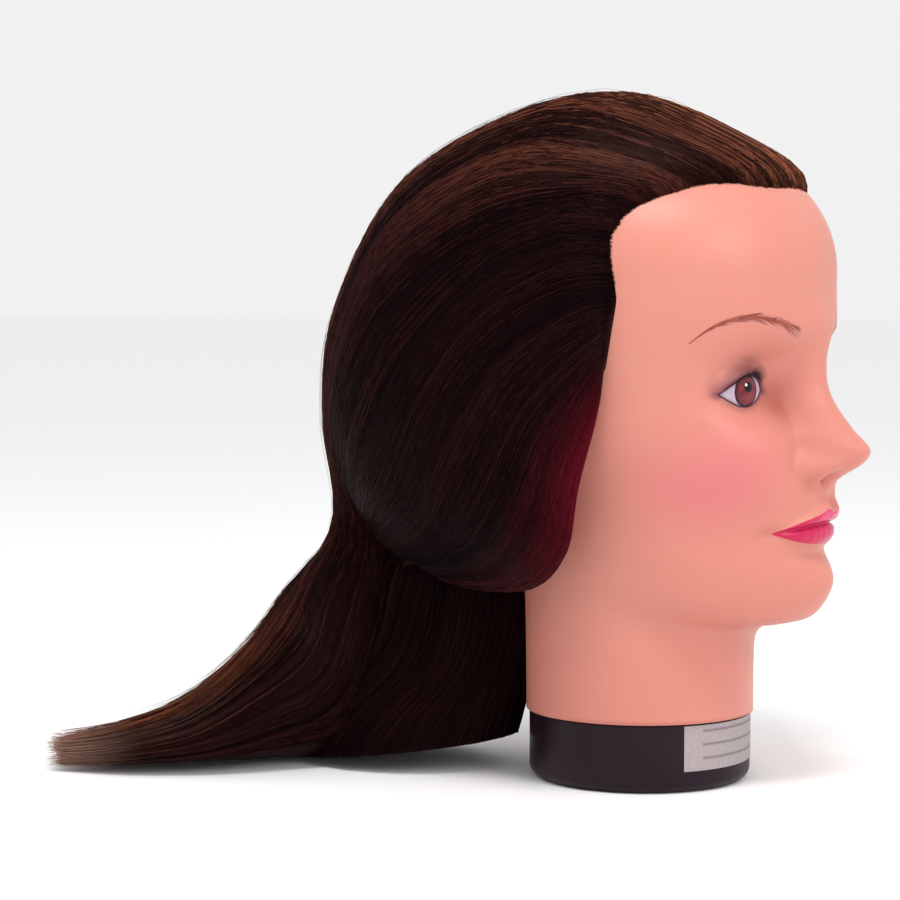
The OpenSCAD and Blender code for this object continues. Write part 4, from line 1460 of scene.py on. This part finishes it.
def painted_highlight_at(u: Array, s: Array) -> Array:
    """Painted highlight: how much light colour shows, over the top near the front and along the back of the
    tail.

    Args:
        u: places round.
        s: places along.
    Returns:
        Amounts, 0 to 1.
    """
    top = bell(u, 1.15, 3) * smooth(5.4, 2.6, s)
    top = top + 0.35 * bell(np.abs(u) - 1.9, 0.5) * smooth(3.6, 1.6, s)
    back = 0.30 * bell(u, 2.0, 3) * smooth(3.5, 5.0, s) * smooth(7.4, 6.0, s)
    tail = smooth(6.6, 9.5, s) * (0.05 + 0.60 * smooth(-2.5, -0.5, u) * smooth(3.8, 1.0, u))
    return np.clip(top * 0.85 + back + tail, 0, 1)


def reddened(u: Array, s: Array) -> Array:
    """How much red shows: in the fine hair at the temples."""
    return smooth(4.35, 5.05, np.abs(u)) * smooth(5.2, 1.6, s) * smooth(0.1, 1.1, s)


@dataclass
class HairStrands:
    """One piece of fine strands combed over the bodies, with loose ends past the tail's tip.

    Pairs are the least and the most of what each strand draws: its place round, its start and end along the
    flow, its height over the surface and its half thickness.
    """

    flow: HairField
    name: str
    count: int
    span: tuple[float, float]
    start: tuple[float, float]
    end: tuple[float, float]
    lift: tuple[float, float] = (0.32, 0.92)
    thick: tuple[float, float] = (0.14, 0.26)
    stray: float = 0.5
    sway: float = 0.07
    flare: float = 0.0
    clear: float = 0.6
    thinnest: float = 0.03
    knots: int = 20
    seed: int = 1

    def build(self) -> Piece:
        """Combs the strands along the flow, each with its own drift, lift and small waves.

        Returns:
            The strand piece with its colour amounts.
        """
        rng = np.random.default_rng(self.seed)
        n = self.count
        u0 = rng.uniform(*self.span, n)
        first = rng.uniform(*self.start, n)
        last = rng.uniform(*self.end, n)
        t = np.linspace(0, 1, self.knots)
        s = first[:, None] + (last - first)[:, None] * t
        sway = rng.normal(0, self.sway, n)[:, None]
        u = u0[:, None] + sway * np.sin(s * 0.55 + rng.uniform(0, 6, n)[:, None])
        u = u + rng.normal(0, 0.07, n)[:, None] * smooth(5, 10, s)
        lift = rng.uniform(*self.lift, n)[:, None]
        lift = lift + self.stray * rng.normal(0, 1, n)[:, None] * smooth(10.0, 12, s)
        lift = lift + 0.12 * np.sin(s * 1.3 + rng.uniform(0, 6, n)[:, None])
        lift = lift + self.flare * rng.uniform(0.15, 1.0, n)[:, None] ** 2 * t**2
        points, out = self.flow.point(np.clip(u, -5.15, 5.15), s, lift)
        past = np.maximum(s - self.flow.last, 0)[..., None]
        fan = rng.normal(0, 0.26, (n, 1, 3)) * np.array([1, 1, 0.35])
        points = points + past * 9 * (np.array([-0.52, -0.80, 0.03]) + fan)
        points[..., 2] = np.maximum(points[..., 2], self.clear)
        sink = np.clip(1 - t / 0.06, 0, 1) * 0.7 * (first > 0.3)[:, None]
        sink = sink + 1.3 * smooth(0.22, 0.0, s)
        points = points - out * sink[..., None]
        taper = np.minimum(1, 0.35 + t / 0.08) * (1 - 0.75 * smooth(0.8, 1.0, t))
        radius = rng.uniform(*self.thick, n)[:, None] * taper[None]
        radius = np.maximum(radius, self.thinnest) * MM
        piece = strands(self.name, placed(points), radius, placed(out) / MM)
        self.colour(piece, u, s, rng)
        return piece

    def colour(self, piece: Piece, u: Array, s: Array, rng: np.random.Generator) -> None:
        """Stores each strand's tone and the light, red and tip amounts along it.

        Tone is a strand's own draw times the comb marks, with painted shade in the creases and down the
        sides; a few strands are bright.
        Args:
            piece: the strands.
            u: places round of their knots.
            s: places along.
            rng: source of the strands' draws.
        """
        painted_shading = self.flow.painted_shading(u, s)
        marks = np.clip(0.44 + 0.70 * self.flow.relief(u, s), 0, 1)
        shade = (0.05 + 0.95 * rng.beta(0.9, 2.2, len(u))[:, None]) * (0.16 + 1.2 * marks)
        # painted shade: darker in the creases, down the sides and on the tail's lower flank
        shade = shade * (1 - 0.9 * self.flow.crease(u, s)) * painted_shading
        bright = (rng.random(len(u)) < 0.08)[:, None] * smooth(0.2, 1.0, s) * (0.25 + 0.55 * painted_shading)
        tip = smooth(10.7, 12.2, s) * rng.uniform(0.35, 1.0, len(u))[:, None]
        give_strands(piece, {"tone": np.clip(shade + bright, 0, 1), "painted_highlight": painted_highlight_at(u, s),
                             "red": reddened(u, s), "tip": tip})


@dataclass
class NapeStrands:
    """Strands over the hair that falls behind the neck and sweeps back along the table."""

    flow: HairField
    count: int = 1250
    knots: int = 16
    clear: float = 0.6
    seed: int = 21

    def build(self) -> Piece:
        """Runs each strand down the nape's rings, then back along the table toward the tail.

        Returns:
            The strand piece.
        """
        rng = np.random.default_rng(self.seed)
        n = self.count
        turn = rng.uniform(math.radians(40), math.radians(320), n)
        t = np.linspace(0, 1, self.knots)
        k = rng.uniform(0, 0.6, n)[:, None] + (rng.uniform(4.4, 5.0, n)[:, None]) * t
        a = turn[:, None] + (math.pi - turn)[:, None] * -0.35 * smooth(2.5, 5, k)
        ring = along(NAPE, k)
        points = ring_points(ring, a)
        out = unit(points - ring[..., :3])
        rise = self.flow.relief(*nape_place(a, k)) * NAPE_COMB - 0.45 + rng.uniform(0, 0.7, n)[:, None]
        points = points + out * rise[..., None]
        points[..., 2] = np.maximum(points[..., 2], self.clear)
        radius = rng.uniform(0.14, 0.28, n)[:, None] * (1 - 0.7 * smooth(0.8, 1, t))[None]
        piece = strands("hair_nape_strands", placed(points), radius * MM, placed(out) / MM)
        shade = 0.5 * rng.beta(1.0, 3.0, n)[:, None] + 0 * k
        give_strands(piece, {"tone": shade, "painted_highlight": 0 * k, "red": 0 * k, "tip": 0 * k})
        return piece


# ---------------------------------------------------------------- assemblies


@dataclass
class SoftHead:
    """The soft head: skin, eyes, brows and lashes."""

    form: HeadForm = HeadForm()
    ink: Moulding = Moulding("brow_ink", (0.38, 0.092, 0.068, 1), (0.44, 0.125, 0.09, 1), 0.8, shine=0.05)
    fibre: Moulding = Moulding("lash_fibre", (0.012, 0.006, 0.01, 1), (0.02, 0.01, 0.014, 1), 0.5)

    def build(self) -> None:
        """Builds, dresses and places each piece on the frame."""
        skin = FaceSkin(self.form).build()
        dress(skin, SoftSkin().material(), "skin", "face_skin")
        gloss = EyeGloss().material()
        ink = self.ink.material()
        lash = self.fibre.material()
        for side in Side:
            name = side.name.lower()
            dress(PaintedEye(self.form, side).build(), gloss, "eye_paint", f"eye_print_{name}")
            dress(Brow(self.form, side).build(), ink, "skin")
            dress(Lashes(self.form, side).build(), lash, "lash", f"eyelash_{name}")


@dataclass
class LongHair:
    """All of the hair: dark bodies and the strands over them."""

    flow: HairField = field(default_factory=HairField)

    def build(self) -> None:
        """Builds the bodies and the strands, which stand for the frame's hair nodes."""
        body = Hair("hair_body", roughness=0.5).material()
        fibre = Hair("hair_strand").material()
        combed, nape = HairMass(self.flow).build()
        dress(combed, body, "hair", "hair_front", "hair_crown", "hair_side_right", "hair_side_left",
              "hair_back", "hair_tail")
        dress(nape, body, "hair", "hair_nape")
        for group in self.groups():
            dress(group.build(), fibre, "hair")
        dress(NapeStrands(self.flow).build(), fibre, "hair")

    def groups(self) -> list[HairStrands]:
        """Strands by zone: over the top and sides, the crown, the tail, its tips, and loose ones.

        Returns:
            The groups, each one piece.
        """
        top, right, left, whole = (-2.3, 2.3), (-5.05, -2.0), (2.0, 5.05), (-5.0, 5.0)

        def zone(name: str, count: int, span: tuple[float, float], start: tuple[float, float],
                 end: tuple[float, float], **more: object) -> HairStrands:
            """One group on this flow."""
            return HairStrands(self.flow, "hair_strands_" + name, count, span, start, end, **more)

        return [
            zone("top", 1550, top, (0.0, 0.3), (4.5, 8.0), seed=31),
            zone("right", 1550, right, (0.0, 0.3), (5.0, 8.0), seed=32),
            zone("left", 1450, left, (0.0, 0.3), (5.0, 8.0), seed=33),
            zone("crown", 1450, whole, (0.3, 3.0), (6.0, 9.5), seed=34),
            zone("side_right", 1300, right, (0.2, 2.5), (5.5, 9.0), seed=37),
            zone("side_left", 1300, left, (0.2, 2.5), (5.5, 9.0), seed=38),
            zone("tail", 1550, whole, (4.5, 7.0), (10.0, 12.3), seed=39, stray=0.8),
            zone("long", 1200, whole, (3.0, 6.0), (10.8, 12.6), lift=(0.2, 1.0), seed=35, stray=1.2),
            zone("tips", 1100, whole, (8.2, 10.0), (11.0, 12.7), lift=(0.0, 1.0), thick=(0.07, 0.15),
                 seed=36, stray=1.5, knots=14),
            zone("loose", 260, whole, (0.3, 4.5), (5.0, 9.5), lift=(0.7, 2.4), thick=(0.045, 0.075),
                 seed=40, stray=1.5, sway=0.16),
            zone("wisps", 240, (-2.2, 1.6), (5.8, 8.2), (8.4, 10.9), lift=(0.2, 0.9), thick=(0.06, 0.12),
                 seed=41, sway=0.14, flare=5.5),
        ]


@dataclass(frozen=True)
class HardBase:
    """The hard base's finishes, put on the frame's own nodes."""

    black: Moulding = Moulding("satin_black", (0.011, 0.004, 0.008, 1), (0.019, 0.008, 0.015, 1), 0.34,
                               shine=0.16)
    plate: Moulding = Moulding("matt_black", (0.03, 0.03, 0.034, 1), (0.05, 0.05, 0.055, 1), 0.55)
    socket: Moulding = Moulding("socket_grey", (0.06, 0.06, 0.068, 1), (0.09, 0.09, 0.10, 1), 0.5)
    foam: Moulding = Moulding("cream_foam", (0.75, 0.68, 0.5, 1), (0.82, 0.76, 0.6, 1), 0.85, 300.0)
    scalp: Moulding = Moulding("tinted_scalp", (0.12, 0.06, 0.045, 1), (0.17, 0.09, 0.065, 1), 0.6)
    adhesive: Moulding = Moulding("root_adhesive", (0.55, 0.46, 0.3, 1), (0.62, 0.54, 0.38, 1), 0.5)

    def build(self) -> None:
        """Dresses the nodes that stay visible as the frame made them."""
        plate = self.plate.material()
        finishes = {"neck_base": self.black.material(), "base_plate": plate, "socket_cap": plate,
                    "clamp_socket": self.socket.material(), "base_screws": Steel().material(),
                    "label": LabelPaper().material(), "foam_core": self.foam.material(),
                    "scalp_cap": self.scalp.material(), "root_lock": self.adhesive.material()}
        for node, material in finishes.items():
            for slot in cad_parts[node].material_slots:
                slot.material = material
            log.info("node %s: %s", node, material.name)


def dress(piece: Piece, material: bpy.types.Material, slot: str, *nodes: str) -> None:
    """Gives a finished piece its material and ties it to the frame.

    Args:
        piece: the piece.
        material: its material.
        slot: the record's material slot; not used.
        nodes: frame nodes that it stands for.
    """
    piece.data.materials.append(material)
    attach(piece, "root")
    if nodes:
        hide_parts(*nodes)
    log.info("%s: %d faces", piece.name, len(piece.data.polygons))


@dataclass(frozen=True)
class Lamp:
    """One square soft light."""

    name: str
    place: tuple[float, float, float]
    power: float
    size: float

    def build(self, aim: Vector) -> None:
        """Makes the light and turns it toward the aim.

        Args:
            aim: the place it shines at, in metres.
        """
        lamp = bpy.data.lights.new(self.name, "AREA")
        lamp.energy = self.power
        lamp.size = self.size
        item = bpy.data.objects.new(self.name, lamp)
        bpy.context.scene.collection.objects.link(item)
        item.location = self.place
        item.rotation_euler = (aim - Vector(self.place)).to_track_quat("-Z", "Y").to_euler()


@dataclass(frozen=True)
class Studio:
    """Pale floor, soft lights and the camera."""

    surround: float = 0.88
    lit_at: tuple[float, float, float] = (0, 0, 0.16)
    lamps: tuple[Lamp, ...] = (
        Lamp("key", (-0.55, -1.45, 0.95), 8.0, 0.7),
        Lamp("hair_light", (-0.55, -0.25, 1.35), 9, 0.35),
    )
    floor_half: float = 30.0
    floor_lines: int = 25
    floor_drop: float = 0.0002
    floor_white: Colour = (0.97, 0.97, 0.97, 1)
    turn: float = math.radians(25)
    distance: float = 1.0
    eye_height: float = 0.1915
    focal: float = 2.711111  # this and the next two in widths of the frame
    axis_right: float = 0.211111
    axis_up: float = 0.16
    sensor: float = 36.0
    near: float = 0.05

    def build(self) -> None:
        """Builds the floor, lights and camera."""
        self.floor()
        self.lights()
        self.camera()

    def floor(self) -> None:
        """Wide level floor in one sheet, a hair's breadth under the base: a square grid of points."""
        line = np.linspace(-self.floor_half, self.floor_half, self.floor_lines)
        gx, gy = np.meshgrid(line, line)
        points = np.stack([gx, gy, np.full_like(gx, -self.floor_drop)], -1).reshape(-1, 3)
        n = np.arange(self.floor_lines**2).reshape(self.floor_lines, self.floor_lines)
        quads = np.stack([n[:-1, :-1], n[:-1, 1:], n[1:, 1:], n[1:, :-1]], -1).reshape(-1, 4)
        sheet = build_mesh("floor", points, [quads])
        m = Nodes("floor_white")
        m.set(Base_Color=self.floor_white, Roughness=0.9, Specular_IOR_Level=0.1)
        sheet.data.materials.append(m.material)

    def lights(self) -> None:
        """White surround, a soft key from the front and a light for the hair."""
        world = bpy.data.worlds.new("studio")
        bpy.context.scene.world = world
        world.use_nodes = True
        bpy.context.scene.view_settings.view_transform = "Standard"
        back = world.node_tree.nodes["Background"]
        back.inputs["Color"].default_value = (1.0, 1.0, 1.0, 1)
        back.inputs["Strength"].default_value = self.surround
        for lamp in self.lamps:
            lamp.build(Vector(self.lit_at))

    def camera(self) -> None:
        """Camera level with the brow, aimed so that the head's axis stands right of the middle.

        The aim is the level view direction times the focal length, less steps to the right and up, so that
        the axis, at the brow's height, lands that far right of and above the middle of the frame.
        """
        eye = bpy.data.cameras.new("camera")
        item = bpy.data.objects.new("camera", eye)
        bpy.context.scene.collection.objects.link(item)
        c, s = math.cos(self.turn), math.sin(self.turn)
        item.location = (-c * self.distance, -s * self.distance, self.eye_height)
        aim = Vector((c, s, 0)) * self.focal
        aim -= Vector((s, -c, 0)) * self.axis_right + Vector((0, 0, 1)) * self.axis_up
        item.rotation_euler = aim.to_track_quat("-Z", "Y").to_euler()
        eye.sensor_width = self.sensor
        eye.lens = self.sensor * aim.length
        eye.clip_start = self.near
        bpy.context.scene.camera = item


def main() -> None:
    """Builds the base, the head, the hair and the studio."""
    logging.basicConfig(level=logging.INFO, format="%(name)s %(message)s")
    HardBase().build()
    SoftHead().build()
    LongHair().build()
    Studio().build()


if __name__ == "__main__":
    main()
